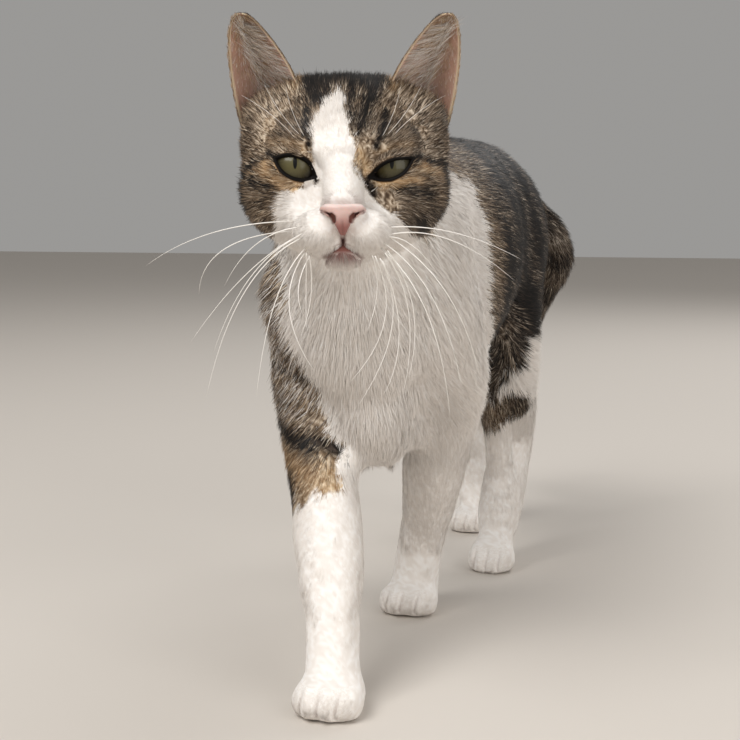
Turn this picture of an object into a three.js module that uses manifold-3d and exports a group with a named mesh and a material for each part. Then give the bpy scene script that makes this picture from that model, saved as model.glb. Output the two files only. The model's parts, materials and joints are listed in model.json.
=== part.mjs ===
// A life-size walking cat, in millimetres, +Z up. It walks towards -Y, and +X is its left side.
// Each form is a signed distance, negative inside. Forms are blended as flesh is, polygonised once
// for each named part, and the parts are then parted by thin plane cuts.
import * as THREE from "three";
import Module from "manifold-3d";

const wasm = await Module();
wasm.setup();

// ---------------------------------------------------------------- driving dimensions

const KERF = 0.3; // gap between neighbouring parts
const BACK_HEIGHT = 270; // top of the loin above the floor
const PAW_LENGTH = 40;
const PAW_WIDTH = 34;
const SOLE_SINK = 1.6; // how far a paw's round form dips below the floor before it is cut flat

const EYE_RADIUS = 11;
const EYE_HALF_GAP = 20.5;
const LID_THICKNESS = 1.3;

// The head's own frame: origin midway between the corneas, x to its left, -y forward, z up.
const HEAD_AT = [13.4, -92.8, 242.8];
const HEAD_TURN = THREE.MathUtils.degToRad(17.6); // to its left
const HEAD_NOD = THREE.MathUtils.degToRad(-2.3);

// The polygons' size in x, y and z: longer where a form runs straight.
const CELL = {
  trunk: [15, 24, 16],
  neck: [13, 14, 14],
  head: [6.9, 6.9, 6.9],
  nose: [2.7, 2.7, 2.7],
  leg: [10, 11, 16],
  paw: [6.2, 6.6, 5.6],
  tail: [10, 11, 12],
};

const COLOUR = {
  tabby: "#5f5044", white: "#efebe6", nose: "#c98f83", iris: "#6f6a44", ear: "#8a7264",
  whisker: "#f2f0ea",
};

// ---------------------------------------------------------------- signed distances

const vec = (a) => new THREE.Vector3(...a);
const mirrored = ([x, y, z]) => [-x, y, z];

// Inigo Quilez's bound for an ellipsoid, good near the surface.
function ellipsoid(centre, radii) {
  const [cx, cy, cz] = centre;
  const [rx, ry, rz] = radii;
  return (x, y, z) => {
    const a = (x - cx) / rx;
    const b = (y - cy) / ry;
    const c = (z - cz) / rz;
    const k0 = Math.hypot(a, b, c);
    const k1 = Math.hypot(a / rx, b / ry, c / rz);
    return k1 === 0 ? -Math.min(rx, ry, rz) : (k0 * (k0 - 1)) / k1;
  };
}

// A limb, neck or trunk: stations along its line, each [x, y, z, half width, half depth].
// The section is an ellipse with its width level, and everything runs smoothly between stations.
const TUBE_STEPS = 9;
function tube(stations) {
  const line = new THREE.CatmullRomCurve3(stations.map((s) => vec(s)), false, "centripetal");
  const wide = new THREE.SplineCurve(stations.map((s, i) => new THREE.Vector2(i, s[3])));
  const deep = new THREE.SplineCurve(stations.map((s, i) => new THREE.Vector2(i, s[4])));
  const count = (stations.length - 1) * TUBE_STEPS;
  const at = [];
  for (let i = 0; i <= count; i++) {
    const t = i / count;
    at.push({ p: line.getPoint(t), w: wide.getPoint(t).y, d: deep.getPoint(t).y });
  }
  const p = new THREE.Vector3();
  const spot = new THREE.Vector3();
  const along = new THREE.Vector3();
  const side = new THREE.Vector3();
  const over = new THREE.Vector3();
  return (x, y, z) => {
    p.set(x, y, z);
    let best = Infinity;
    let from = 0;
    let share = 0;
    for (let i = 0; i < count; i++) {
      along.subVectors(at[i + 1].p, at[i].p);
      const t = THREE.MathUtils.clamp(spot.subVectors(p, at[i].p).dot(along) / along.lengthSq(), 0, 1);
      const far = spot.addScaledVector(along, -t).lengthSq();
      if (far < best) {
        best = far;
        from = i;
        share = t;
      }
    }
    const a = at[from];
    const b = at[from + 1];
    along.subVectors(b.p, a.p);
    spot.subVectors(p, a.p).addScaledVector(along, -share);
    along.normalize();
    side.set(-along.y, along.x, 0);
    if (side.lengthSq() < 0.04) side.set(1, 0, 0);
    side.normalize();
    over.crossVectors(along, side);
    const w = THREE.MathUtils.lerp(a.w, b.w, share);
    const d = THREE.MathUtils.lerp(a.d, b.d, share);
    const r = Math.min(w, d);
    const u = spot.dot(side) / w;
    const v = spot.dot(over) / d;
    const e = spot.dot(along) / r;
    const k0 = Math.hypot(u, v, e);
    const k1 = Math.hypot(u / w, v / d, e / r);
    return k1 === 0 ? -r : (k0 * (k0 - 1)) / k1;
  };
}

// Smooth union: forms nearer than soft to each other flow together.
function melt(soft, ...forms) {
  return (x, y, z) => {
    let d = forms[0](x, y, z);
    for (let i = 1; i < forms.length; i++) {
      const e = forms[i](x, y, z);
      const h = Math.max(soft - Math.abs(d - e), 0) / soft;
      d = Math.min(d, e) - (h * h * soft) / 4;
    }
    return d;
  };
}

// Smooth carving: what lies in the tools is taken out of the form.
function carve(soft, form, ...tools) {
  return (x, y, z) => {
    let d = form(x, y, z);
    for (const tool of tools) {
      const e = -tool(x, y, z);
      const h = Math.max(soft - Math.abs(d - e), 0) / soft;
      d = Math.max(d, e) + (h * h * soft) / 4;
    }
    return d;
  };
}

// A form made in a frame of its own, such as the head's, and stood in the cat's frame.
function placed(form, matrix) {
  const back = matrix.clone().invert();
  const p = new THREE.Vector3();
  return (x, y, z) => {
    p.set(x, y, z).applyMatrix4(back);
    return form(p.x, p.y, p.z);
  };
}

// ---------------------------------------------------------------- polygons from a form

// Surface nets: one vertex in each cell that the surface crosses, then drawn onto the surface.
function polygonise(form, low, high, cell) {
  const n = cell.map((c, k) => Math.ceil((high[k] - low[k]) / c) + 1);
  const index = (i, j, k) => i + n[0] * (j + n[1] * k);
  const spot = (i, k) => low[k] + (i + 0.0137) * cell[k];
  const value = new Float64Array(n[0] * n[1] * n[2]);
  for (let k = 0; k < n[2]; k++)
    for (let j = 0; j < n[1]; j++)
      for (let i = 0; i < n[0]; i++) {
        const rim = [i, j, k].some((c, axis) => c === 0 || c === n[axis] - 1);
        const d = form(spot(i, 0), spot(j, 1), spot(k, 2));
        value[index(i, j, k)] = rim ? Math.max(d, cell[0]) : d;
      }
  fillDiagonals(value, n, index);

  const corners = [];
  for (let c = 0; c < 8; c++) corners.push([c & 1, (c >> 1) & 1, c >> 2]);
  const points = [];
  const vertexOf = new Int32Array(value.length).fill(-1);
  for (let k = 0; k < n[2] - 1; k++)
    for (let j = 0; j < n[1] - 1; j++)
      for (let i = 0; i < n[0] - 1; i++) {
        const held = corners.map(([a, b, c]) => value[index(i + a, j + b, k + c)]);
        const inside = held.filter((d) => d < 0).length;
        if (inside === 0 || inside === 8) continue;
        const sum = [0, 0, 0];
        let crossings = 0;
        for (let a = 0; a < 8; a++)
          for (const bit of [1, 2, 4]) {
            const b = a | bit;
            if (a === b || held[a] < 0 === held[b] < 0) continue;
            const t = held[a] / (held[a] - held[b]);
            corners[a].forEach((c, axis) => (sum[axis] += c + t * (corners[b][axis] - c)));
            crossings++;
          }
        vertexOf[index(i, j, k)] = points.length / 3;
        const start = [i, j, k].map((at, axis) => spot(at + sum[axis] / crossings, axis));
        points.push(...onSurface(form, start, Math.min(...cell)));
      }

  const faces = [];
  const steps = [[1, 0, 0], [0, 1, 0], [0, 0, 1]];
  for (let k = 0; k < n[2] - 1; k++)
    for (let j = 0; j < n[1] - 1; j++)
      for (let i = 0; i < n[0] - 1; i++)
        for (let axis = 0; axis < 3; axis++) {
          const [a, b, c] = steps[axis];
          const here = value[index(i, j, k)] < 0;
          if (here === value[index(i + a, j + b, k + c)] < 0) continue;
          const [u1, u2, u3] = steps[(axis + 1) % 3];
          const [v1, v2, v3] = steps[(axis + 2) % 3];
          const quad = [
            vertexOf[index(i - u1 - v1, j - u2 - v2, k - u3 - v3)],
            vertexOf[index(i - v1, j - v2, k - v3)],
            vertexOf[index(i, j, k)],
            vertexOf[index(i - u1, j - u2, k - u3)],
          ];
          if (!here) quad.reverse();
          faces.push(...shorterSplit(points, quad));
        }
  return solidFrom(new Float32Array(points), new Uint32Array(faces));
}

// A square of samples with only two opposite corners inside would give an edge with four faces, so
// the nearer of its outer corners is taken in.
function fillDiagonals(value, n, index) {
  const squares = [[1, 0, 0, 0, 1, 0], [0, 1, 0, 0, 0, 1], [0, 0, 1, 1, 0, 0]];
  let filled = true;
  while (filled) {
    filled = false;
    for (let k = 0; k < n[2] - 1; k++)
      for (let j = 0; j < n[1] - 1; j++)
        for (let i = 0; i < n[0] - 1; i++)
          for (const [u1, u2, u3, v1, v2, v3] of squares) {
            const a = index(i, j, k);
            const b = index(i + u1, j + u2, k + u3);
            const c = index(i + u1 + v1, j + u2 + v2, k + u3 + v3);
            const d = index(i + v1, j + v2, k + v3);
            const first = value[a] < 0 && value[c] < 0 && value[b] >= 0 && value[d] >= 0;
            const second = value[b] < 0 && value[d] < 0 && value[a] >= 0 && value[c] >= 0;
            if (!first && !second) continue;
            const [p, q] = first ? [b, d] : [a, c];
            value[value[p] < value[q] ? p : q] = -0.01;
            filled = true;
          }
  }
}

// Newton steps along the gradient, held close so that no face turns over.
function onSurface(form, [x, y, z], cell) {
  const h = 0.05 * cell;
  const reach = 0.45 * cell;
  for (let step = 0; step < 3; step++) {
    const d = form(x, y, z);
    const gx = (form(x + h, y, z) - form(x - h, y, z)) / (2 * h);
    const gy = (form(x, y + h, z) - form(x, y - h, z)) / (2 * h);
    const gz = (form(x, y, z + h) - form(x, y, z - h)) / (2 * h);
    const g2 = Math.max(gx * gx + gy * gy + gz * gz, 0.05);
    const move = THREE.MathUtils.clamp(d / g2, -reach, reach);
    x -= move * gx;
    y -= move * gy;
    z -= move * gz;
  }
  return [x, y, z];
}

function shorterSplit(points, [a, b, c, d]) {
  const far = (i, j) =>
    Math.hypot(...[0, 1, 2].map((k) => points[3 * i + k] - points[3 * j + k]));
  return far(a, c) < far(b, d) ? [a, b, c, a, c, d] : [a, b, d, b, c, d];
}

// ---------------------------------------------------------------- solids

const solidFrom = (vertProperties, triVerts) =>
  new wasm.Manifold(new wasm.Mesh({ numProp: 3, vertProperties, triVerts }));

// A three.js geometry as a solid, with its doubled vertices merged by place.
function solidOf(geometry, matrix = new THREE.Matrix4()) {
  const position = (geometry.index ? geometry.toNonIndexed() : geometry.clone())
    .applyMatrix4(matrix).attributes.position;
  const seen = new Map();
  const points = [];
  const faces = [];
  for (let i = 0; i < position.count; i++) {
    const p = [position.getX(i), position.getY(i), position.getZ(i)];
    const key = p.map((c) => Math.round(c * 1000)).join();
    if (!seen.has(key)) {
      seen.set(key, seen.size);
      points.push(...p);
    }
    faces.push(seen.get(key));
  }
  const kept = [];
  for (let i = 0; i < faces.length; i += 3) {
    const [a, b, c] = faces.slice(i, i + 3);
    if (a !== b && b !== c && a !== c) kept.push(a, b, c);
  }
  return solidFrom(new Float32Array(points), new Uint32Array(kept));
}

// All space on the side of a plane that the normal points to, from offset onwards.
const HALF_SPACE = 900;
function beyond(point, normal, offset = 0) {
  const n = vec(normal).normalize();
  const turn = new THREE.Quaternion().setFromUnitVectors(new THREE.Vector3(0, 0, 1), n);
  const centre = vec(point).addScaledVector(n, offset + HALF_SPACE / 2);
  const matrix = new THREE.Matrix4().compose(centre, turn, new THREE.Vector3(1, 1, 1));
  return solidOf(new THREE.BoxGeometry(HALF_SPACE, HALF_SPACE, HALF_SPACE), matrix);
}

// A cut is a list of planes, and what lies beyond all of them is the part that is taken off.
const region = (planes, offset) =>
  planes.map(([point, normal]) => beyond(point, normal, offset)).reduce((a, b) => a.intersect(b));
const takenOff = (solid, planes) => solid.intersect(region(planes, KERF / 2));
const leftBehind = (solid, planes) => solid.subtract(region(planes, -KERF / 2));

// The largest body of a solid, without the slivers that a cut can leave.
const largest = (solid) =>
  solid.decompose().reduce((a, b) => (a.volume() > b.volume() ? a : b));

function meshOf(name, solid, material) {
  const { vertProperties, triVerts } = largest(solid).getMesh();
  const geometry = new THREE.BufferGeometry()
    .setAttribute("position", new THREE.BufferAttribute(vertProperties, 3))
    .setIndex(new THREE.BufferAttribute(triVerts, 1));
  geometry.computeVertexNormals();
  const mesh = new THREE.Mesh(geometry, material);
  mesh.name = name;
  return mesh;
}

// ---------------------------------------------------------------- trunk, neck and tail

// Stations run from the breast to the rump: [x, y, z, half width, half height].
const trunk = melt(
  14,
  tube([
    [0, -34, 184, 27, 42],
    [0, -8, 190, 36, 62],
    [0, 30, BACK_HEIGHT - 77, 42, 69],
    [0, 80, BACK_HEIGHT - 75, 48, 71],
    [0, 125, BACK_HEIGHT - 67, 49, 67],
    [0, 170, BACK_HEIGHT - 58, 42, 58],
    [0, 212, BACK_HEIGHT - 54, 42, 53],
    [0, 242, BACK_HEIGHT - 57, 40, 46],
    [0, 257, BACK_HEIGHT - 59, 32, 38],
  ]),
  ellipsoid([0, -24, 170], [34, 30, 40]), // breast
  ellipsoid([2, -4, 140], [15, 32, 33]), // long fur between the forelegs
  ellipsoid([17, 24, 232], [17, 34, 32]), // left shoulder blade, raised by the leg that bears
  ellipsoid([-18, 4, 228], [17, 34, 31]),
);

const neck = tube([
  [0, 22, 218, 34, 42],
  [0, -10, 216, 38, 45],
  [1, -34, 221, 37, 42],
  [1.5, -52, 229, 33, 36],
]);

const tail = tube([
  [0, 258, 234, 17, 17],
  [5, 284, 237, 14, 14],
  [14, 301, 229, 13, 13],
  [28, 311, 214, 12.5, 12.5],
  [36.5, 318, 195, 12.5, 12.5],
  [28, 326, 176, 12.5, 12.5],
  [15, 334, 155, 12.5, 12.5],
  [4, 343, 133, 12, 12],
  [-8, 357, 112, 11.5, 11.5],
  [-18, 377, 96, 11, 11],
  [-25, 401, 88, 10, 10],
  [-30, 425, 89, 7, 7],
]);

// ---------------------------------------------------------------- legs

// A paw in a frame of its own: x across, y forward, z up, the sole on z = 0 at the ball's centre.
function paw(width, length, height) {
  const toe = (across, ahead, r) =>
    ellipsoid([across * width, ahead * length, r - SOLE_SINK], [0.165 * width, 0.23 * length, r]);
  const toeHeight = 0.44 * height;
  return melt(
    3,
    ellipsoid([0, -0.08 * length, 0.46 * height - SOLE_SINK], [0.43 * width, 0.42 * length, 0.5 * height]),
    toe(-0.15, 0.27, toeHeight),
    toe(0.15, 0.27, toeHeight),
    toe(-0.345, 0.13, 0.94 * toeHeight),
    toe(0.345, 0.13, 0.94 * toeHeight),
  );
}

// Stands a paw at a point, its toes turned out by turn and pitched down by tip.
function pawAt(form, [x, y, z], turn, tip = 0) {
  const matrix = new THREE.Matrix4()
    .makeTranslation(x, y, z)
    .multiply(new THREE.Matrix4().makeRotationZ(Math.PI + turn))
    .multiply(new THREE.Matrix4().makeRotationX(-tip));
  return placed(form, matrix);
}

const frontPaw = paw(PAW_WIDTH, PAW_LENGTH, 21);
const hindPaw = paw(0.9 * PAW_WIDTH, PAW_LENGTH, 20);

// Right foreleg: reached forward and just set down.
const forelegRight = melt(
  7,
  tube([
    [-28, 4, 218, 16, 30],
    [-33, -20, 184, 19, 27],
    [-35, -6, 150, 20, 25],
    [-31, -4, 121, 20.5, 23],
    [-18.7, -26, 90, 18.4, 19],
    [-7.7, -50, 60, 15.8, 16],
    [-1.3, -66, 36, 13.2, 14],
    [2, -76, 18, 12.8, 13],
  ]),
  ellipsoid([-34, -16, 178], [17, 27, 32]),
  ellipsoid([-32, 12, 128], [16, 18, 20]), // elbow
);
const pawForeRight = pawAt(frontPaw, [5, -86, 0], -0.05);

// Left foreleg: at the end of its stance, behind the shoulder.
const forelegLeft = melt(
  7,
  tube([
    [28, 14, 218, 16, 30],
    [33, 2, 184, 19, 27],
    [32, 26, 150, 21, 27],
    [22, 46, 121, 21.5, 23],
    [13.2, 64, 90, 18.6, 19],
    [4.9, 80, 60, 15.2, 15.5],
    [-1.8, 89, 38, 12.9, 14],
    [-4, 88, 18, 13.4, 13],
  ]),
  ellipsoid([34, 6, 178], [17, 27, 32]),
  ellipsoid([27, 58, 130], [14, 16, 18]), // elbow
);
const pawForeLeft = pawAt(frontPaw, [-5, 80, 0], 0.05);

// Left hind leg: swung forward, only the toes on the floor.
const hindLegLeft = melt(
  8,
  tube([
    [18, 238, 216, 20, 36],
    [26, 215, 184, 19, 38],
    [31, 190, 152, 16.5, 30],
    [31, 196, 122, 15, 24],
    [28, 219, 98, 12.5, 17],
    [22, 234, 76, 13.5, 14.5],
    [20, 218, 48, 14.2, 14],
    [19.2, 202, 28, 14, 13],
  ]),
  ellipsoid([24, 238, 198], [18, 32, 30]),
);
const pawHindLeft = pawAt(hindPaw, [19, 190, 4.5], 0, 0.62);

// Right hind leg: planted behind, the heel rising.
const hindLegRight = melt(
  8,
  tube([
    [-18, 238, 216, 20, 36],
    [-26, 226, 182, 19, 40],
    [-31, 216, 147, 16.5, 31],
    [-31, 240, 115, 15, 23],
    [-27, 276, 92, 13.5, 16],
    [-23, 304, 76, 13, 14.5],
    [-20, 308, 50, 13, 13.5],
    [-19, 303, 24, 13, 13],
  ]),
  ellipsoid([-24, 240, 196], [18, 32, 30]),
);
const pawHindRight = pawAt(hindPaw, [-19, 289, 0], 0);

// ---------------------------------------------------------------- head

const headMatrix = new THREE.Matrix4()
  .makeTranslation(...HEAD_AT)
  .multiply(new THREE.Matrix4().makeRotationZ(HEAD_TURN))
  .multiply(new THREE.Matrix4().makeRotationX(HEAD_NOD));

const pair = (form, centre, radii) => [form(centre, radii), form(mirrored(centre), radii)];
const skull = melt(
  10,
  ellipsoid([0, 30, 9.5], [35, 36, 32.5]), // cranium
  ellipsoid([0, 15, 5], [30, 20, 19]), // brow
  ...pair(ellipsoid, [22, 18, -11], [16, 17, 13]), // cheekbones
  ...pair(ellipsoid, [25.5, 26, -10], [22, 25, 21]), // cheeks
  ...pair(ellipsoid, [31, 35, 7], [14, 17, 23]), // temples, below the ears
  ...pair(ellipsoid, [13.5, 19, -23], [18, 24, 13.5]), // jaws
);
const muzzle = melt(
  7,
  tube([
    [0, 14, 6, 13, 15],
    [0, -6, -4, 10.5, 13],
    [0, -22, -18, 8.5, 9],
  ]),
  ...pair(ellipsoid, [10, -12, -27], [12.5, 16, 10.5]), // whisker pads
  ellipsoid([0, -9, -36], [11.5, 14, 8]), // chin
);
const eyeAt = [EYE_HALF_GAP, 9.8, 0];
const headForm = carve(
  4,
  melt(8, skull, muzzle),
  ...pair(ellipsoid, [15, -8, -3], [5, 8, 7]), // inner corners of the eyes
);

// ---------------------------------------------------------------- eyes, lids, nose and ears

const sphere = (radius, centre, matrix) =>
  solidOf(
    new THREE.SphereGeometry(radius, 14, 9),
    matrix.clone().multiply(new THREE.Matrix4().makeTranslation(...centre)),
  );

// The opening between the lids, an almond pushed forward out of the eyeball's middle.
// The almond lies on the line from the inner corner to the outer one, which is the higher.
const LID_LINE = { inner: [11.4, -4.1], outer: [29.4, 3.7], above: 4.6, below: 5.2 };
function lidOpening(side) {
  const { inner, outer, above, below } = LID_LINE;
  const length = Math.hypot(outer[0] - inner[0], outer[1] - inner[1]);
  const tilt = Math.atan2(outer[1] - inner[1], outer[0] - inner[0]);
  const shape = new THREE.Shape();
  shape.moveTo(0, 0);
  shape.bezierCurveTo(0.22 * length, -1.25 * below, 0.72 * length, -1.45 * below, length, 0);
  shape.bezierCurveTo(0.86 * length, 1.5 * above, 0.4 * length, 1.15 * above, 0, 0);
  const geometry = new THREE.ExtrudeGeometry(shape, { depth: 30, bevelEnabled: false, curveSegments: 9 });
  geometry.applyMatrix4(
    new THREE.Matrix4()
      .makeTranslation(inner[0], eyeAt[1], inner[1])
      .multiply(new THREE.Matrix4().makeRotationY(-tilt))
      .multiply(new THREE.Matrix4().makeRotationX(Math.PI / 2)),
  );
  if (side < 0) {
    geometry.scale(-1, 1, 1);
    flip(geometry);
  }
  return solidOf(geometry);
}

// Turns every face round, after a mirroring.
function flip(geometry) {
  if (geometry.index) throw new Error("flip needs loose triangles");
  const p = geometry.attributes.position;
  for (let i = 0; i < p.count; i += 3) {
    const b = [p.getX(i + 1), p.getY(i + 1), p.getZ(i + 1)];
    p.setXYZ(i + 1, p.getX(i + 2), p.getY(i + 2), p.getZ(i + 2));
    p.setXYZ(i + 2, ...b);
  }
}

const noseForm = carve(
  1.2,
  melt(
    3,
    ellipsoid([0, -26.5, -21.2], [8.8, 5.5, 4]),
    ellipsoid([0, -26.5, -25.4], [4.6, 4.6, 5.6]),
  ),
  ...pair(ellipsoid, [5.2, -31.7, -24], [2.4, 2.6, 1.7]), // nostrils
);

// An ear: a cupped sheet. t runs from its root to its tip, v from the inner edge to the outer.
const EAR = {
  root: [33.6, 30, 29.9], bend: [39.5, 28, 50.5], tip: [45.3, 25, 68.6],
  halfWidth: 16, rootTilt: 31.6, cup: 23, skew: 8, thick: 3.4, thin: 1.8, below: 0.34,
};
function earSheet(t, v) {
  const line = new THREE.QuadraticBezierCurve3(vec(EAR.root), vec(EAR.bend), vec(EAR.tip));
  const centre =
    t >= 0 ? line.getPoint(t) : line.getPoint(0).addScaledVector(line.getTangent(0), t * 60);
  const open = Math.max(t, 0);
  const half = EAR.halfWidth * Math.sqrt(1 - Math.pow(open, 1.25)) * (1 + 0.25 * Math.min(t, 0));
  const tilt = THREE.MathUtils.degToRad(EAR.rootTilt) * Math.pow(1 - open, 1.5);
  const cup = EAR.cup * Math.pow(1 - open, 0.75) * (1 - v * v);
  return new THREE.Vector3(
    centre.x + half * v * Math.cos(tilt) - 0.12 * cup,
    centre.y + cup + EAR.skew * v * (1 - open),
    centre.z - half * v * Math.sin(tilt),
  );
}
function earSolid(side) {
  const rows = 7;
  const columns = 6;
  const spots = [];
  const grid = (layer, i, j) => layer * (rows + 1) * (columns + 1) + i * (columns + 1) + j;
  for (const layer of [0, 1])
    for (let i = 0; i <= rows; i++)
      for (let j = 0; j <= columns; j++) {
        const t = THREE.MathUtils.lerp(-EAR.below, 0.99, i / rows);
        const v = THREE.MathUtils.lerp(-1, 1, j / columns);
        const p = earSheet(t, v);
        const e = 1e-3;
        const du = earSheet(t + e, v).sub(earSheet(t - e, v));
        const dv = earSheet(t, v + e).sub(earSheet(t, v - e));
        const out = du.cross(dv).normalize(); // away from the cup
        const rim = Math.sqrt(Math.max(0.08, 1 - Math.pow(v, 6)));
        const thickness = THREE.MathUtils.lerp(EAR.thick, EAR.thin, Math.max(t, 0)) * rim;
        p.addScaledVector(out, (layer - 0.5) * thickness);
        spots.push(side * p.x, p.y, p.z);
      }
  const faces = [];
  const quad = (a, b, c, d) => faces.push(a, b, c, a, c, d);
  for (let i = 0; i < rows; i++)
    for (let j = 0; j < columns; j++) {
      quad(grid(1, i + 1, j), grid(1, i + 1, j + 1), grid(1, i, j + 1), grid(1, i, j));
      quad(grid(0, i, j), grid(0, i, j + 1), grid(0, i + 1, j + 1), grid(0, i + 1, j));
    }
  for (let i = 0; i < rows; i++) {
    quad(grid(0, i + 1, 0), grid(1, i + 1, 0), grid(1, i, 0), grid(0, i, 0));
    quad(grid(1, i + 1, columns), grid(0, i + 1, columns), grid(0, i, columns), grid(1, i, columns));
  }
  for (let j = 0; j < columns; j++) {
    quad(grid(1, 0, j), grid(1, 0, j + 1), grid(0, 0, j + 1), grid(0, 0, j));
    quad(grid(0, rows, j), grid(0, rows, j + 1), grid(1, rows, j + 1), grid(1, rows, j));
  }
  const geometry = new THREE.BufferGeometry()
    .setAttribute("position", new THREE.Float32BufferAttribute(spots, 3))
    .setIndex(faces)
    .toNonIndexed();
  if (side < 0) flip(geometry);
  return solidOf(geometry);
}

// ---------------------------------------------------------------- whiskers

// The five strongest whiskers of each side, each [root, bend, tip] in the head's frame.
// They stand for the stiff inner length of each one: the hair beyond it is finer than a solid can be.
const WHISKER = { root: 0.5, tip: 0.34, steps: 4, sides: 3 };
const WHISKERS = {
  left: [
    [[19, -20, -27], [40, -11, -27], [58.6, 2, -32]],
    [[19, -21, -30], [43, -15, -53], [58, -1, -88]],
    [[15, -23, -34], [35, -20, -62], [45, -12, -107]],
    [[17, -24, -37], [27, -24, -61], [25, -26, -93]],
    [[13, -25, -38], [19, -27, -66], [7, -29, -97]],
  ],
  right: [
    [[-20, -18, -23], [-55, -9, -28], [-86, 9, -42]],
    [[-21, -18, -28], [-50, -11, -36], [-62, 2, -54]],
    [[-15, -22, -28], [-40, -15, -45], [-65, -3, -74]],
    [[-16, -23, -30], [-41, -18, -53], [-58, -5, -97]],
    [[-15, -24, -34], [-28, -22, -57], [-36, -18, -96]],
  ],
};

// A tapering three-sided rod that starts just clear of the face.
function whisker(spots, face) {
  const [root, bend, tip] = spots.map((spot) => vec(inHead(spot)));
  const inward = root.sub(bend).normalize();
  const hit = new THREE.Raycaster(bend, inward).intersectObject(face)[0];
  const slant = Math.abs(hit.face.normal.dot(inward));
  const start = hit.point.addScaledVector(inward, -(KERF + WHISKER.root) / slant);
  const line = new THREE.CatmullRomCurve3([start, bend, tip]);
  const ahead = vec(inHeadWay([0, -1, 0]));
  const { steps, sides } = WHISKER;
  const points = [];
  const faces = [];
  for (let i = 0; i <= steps; i++) {
    const share = i / steps;
    const along = line.getTangent(share);
    const beside = new THREE.Vector3().crossVectors(along, ahead).normalize();
    const over = new THREE.Vector3().crossVectors(along, beside);
    const radius = THREE.MathUtils.lerp(WHISKER.root, WHISKER.tip, share);
    for (let j = 0; j < sides; j++) {
      const turn = (2 * Math.PI * j) / sides;
      const spot = line.getPoint(share)
        .addScaledVector(beside, radius * Math.cos(turn))
        .addScaledVector(over, radius * Math.sin(turn));
      points.push(...spot);
      if (i === steps) continue;
      const [a, b] = [i * sides + j, i * sides + ((j + 1) % sides)];
      faces.push(a, b, b + sides, a, b + sides, a + sides);
    }
  }
  const end = steps * sides;
  faces.push(0, 2, 1, end, end + 1, end + 2);
  const geometry = new THREE.BufferGeometry()
    .setAttribute("position", new THREE.Float32BufferAttribute(points, 3))
    .setIndex(faces);
  return solidOf(geometry);
}

// ---------------------------------------------------------------- the parts

const material = (colour, roughness = 0.9) =>
  new THREE.MeshStandardMaterial({ color: colour, roughness, metalness: 0 });
const fur = { tabby: material(COLOUR.tabby), white: material(COLOUR.white), ear: material(COLOUR.ear) };
const wet = { nose: material(COLOUR.nose, 0.5), iris: material(COLOUR.iris, 0.15) };
const horn = material(COLOUR.whisker, 0.4);

const head = placed(headForm, headMatrix);
const inHead = (point) => vec(point).applyMatrix4(headMatrix).toArray();
const inHeadWay = (way) => vec(way).transformDirection(headMatrix).toArray();

// Each cut's planes, as [point, normal out of the rest].
const HEAD_CUT = [[0, 44, -6], [0, -1, 0.25]]; // in the head's frame
const cuts = {
  head: [[inHead(HEAD_CUT[0]), inHeadWay(HEAD_CUT[1])]],
  neck: [[[0, -26, 205], [0, -1, 0.42]]],
  foreRight: [[[-11, 0, 118], [-0.62, 0, -0.78]]],
  foreLeft: [[[11, 0, 118], [0.62, 0, -0.78]]],
  hindRight: [[[-8, 225, 150], [-0.86, 0, -0.5]], [[-40, 168, 150], [0, 0.87, -0.5]]],
  hindLeft: [[[8, 225, 150], [0.86, 0, -0.5]], [[40, 150, 150], [0, 0.87, -0.5]]],
  tail: [[[0, 289, 230], [0, 1, 0]]],
  tailTip: [[[4, 343, 133], [-0.5, 0.45, -0.74]]],
  pawForeRight: [[[5, -72, 23], [0, -0.3, -0.95]]],
  pawForeLeft: [[[-4, 88, 23], [0, -0.2, -0.98]]],
  shankLeft: [[[36, 196, 128], [0, 0.3, -0.95]]],
  shankRight: [[[-36, 222, 128], [0, 0.5, -0.87]]],
  pawHindLeft: [[[20, 202, 26], [0, -0.5, -0.87]]],
  pawHindRight: [[[-20, 304, 22], [0, -0.2, -0.98]]],
};
const floorCut = [[[0, 0, 0], [0, 0, -1]]];
const onFloor = (solid) => solid.subtract(region(floorCut, 0));

const bodyMelt = 12;
const pawMelt = 5;
const joined = (limb, foot) => melt(bodyMelt, trunk, melt(pawMelt, limb, foot));
const limbs = {
  foreRight: joined(forelegRight, pawForeRight),
  foreLeft: joined(forelegLeft, pawForeLeft),
  hindLeft: joined(hindLegLeft, pawHindLeft),
  hindRight: joined(hindLegRight, pawHindRight),
};
const withTail = melt(bodyMelt, trunk, tail);
const withNeck = melt(16, melt(20, trunk, neck), head);
const animal = (x, y, z) =>
  Math.min(withNeck(x, y, z), withTail(x, y, z), ...Object.values(limbs).map((limb) => limb(x, y, z)));

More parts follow.
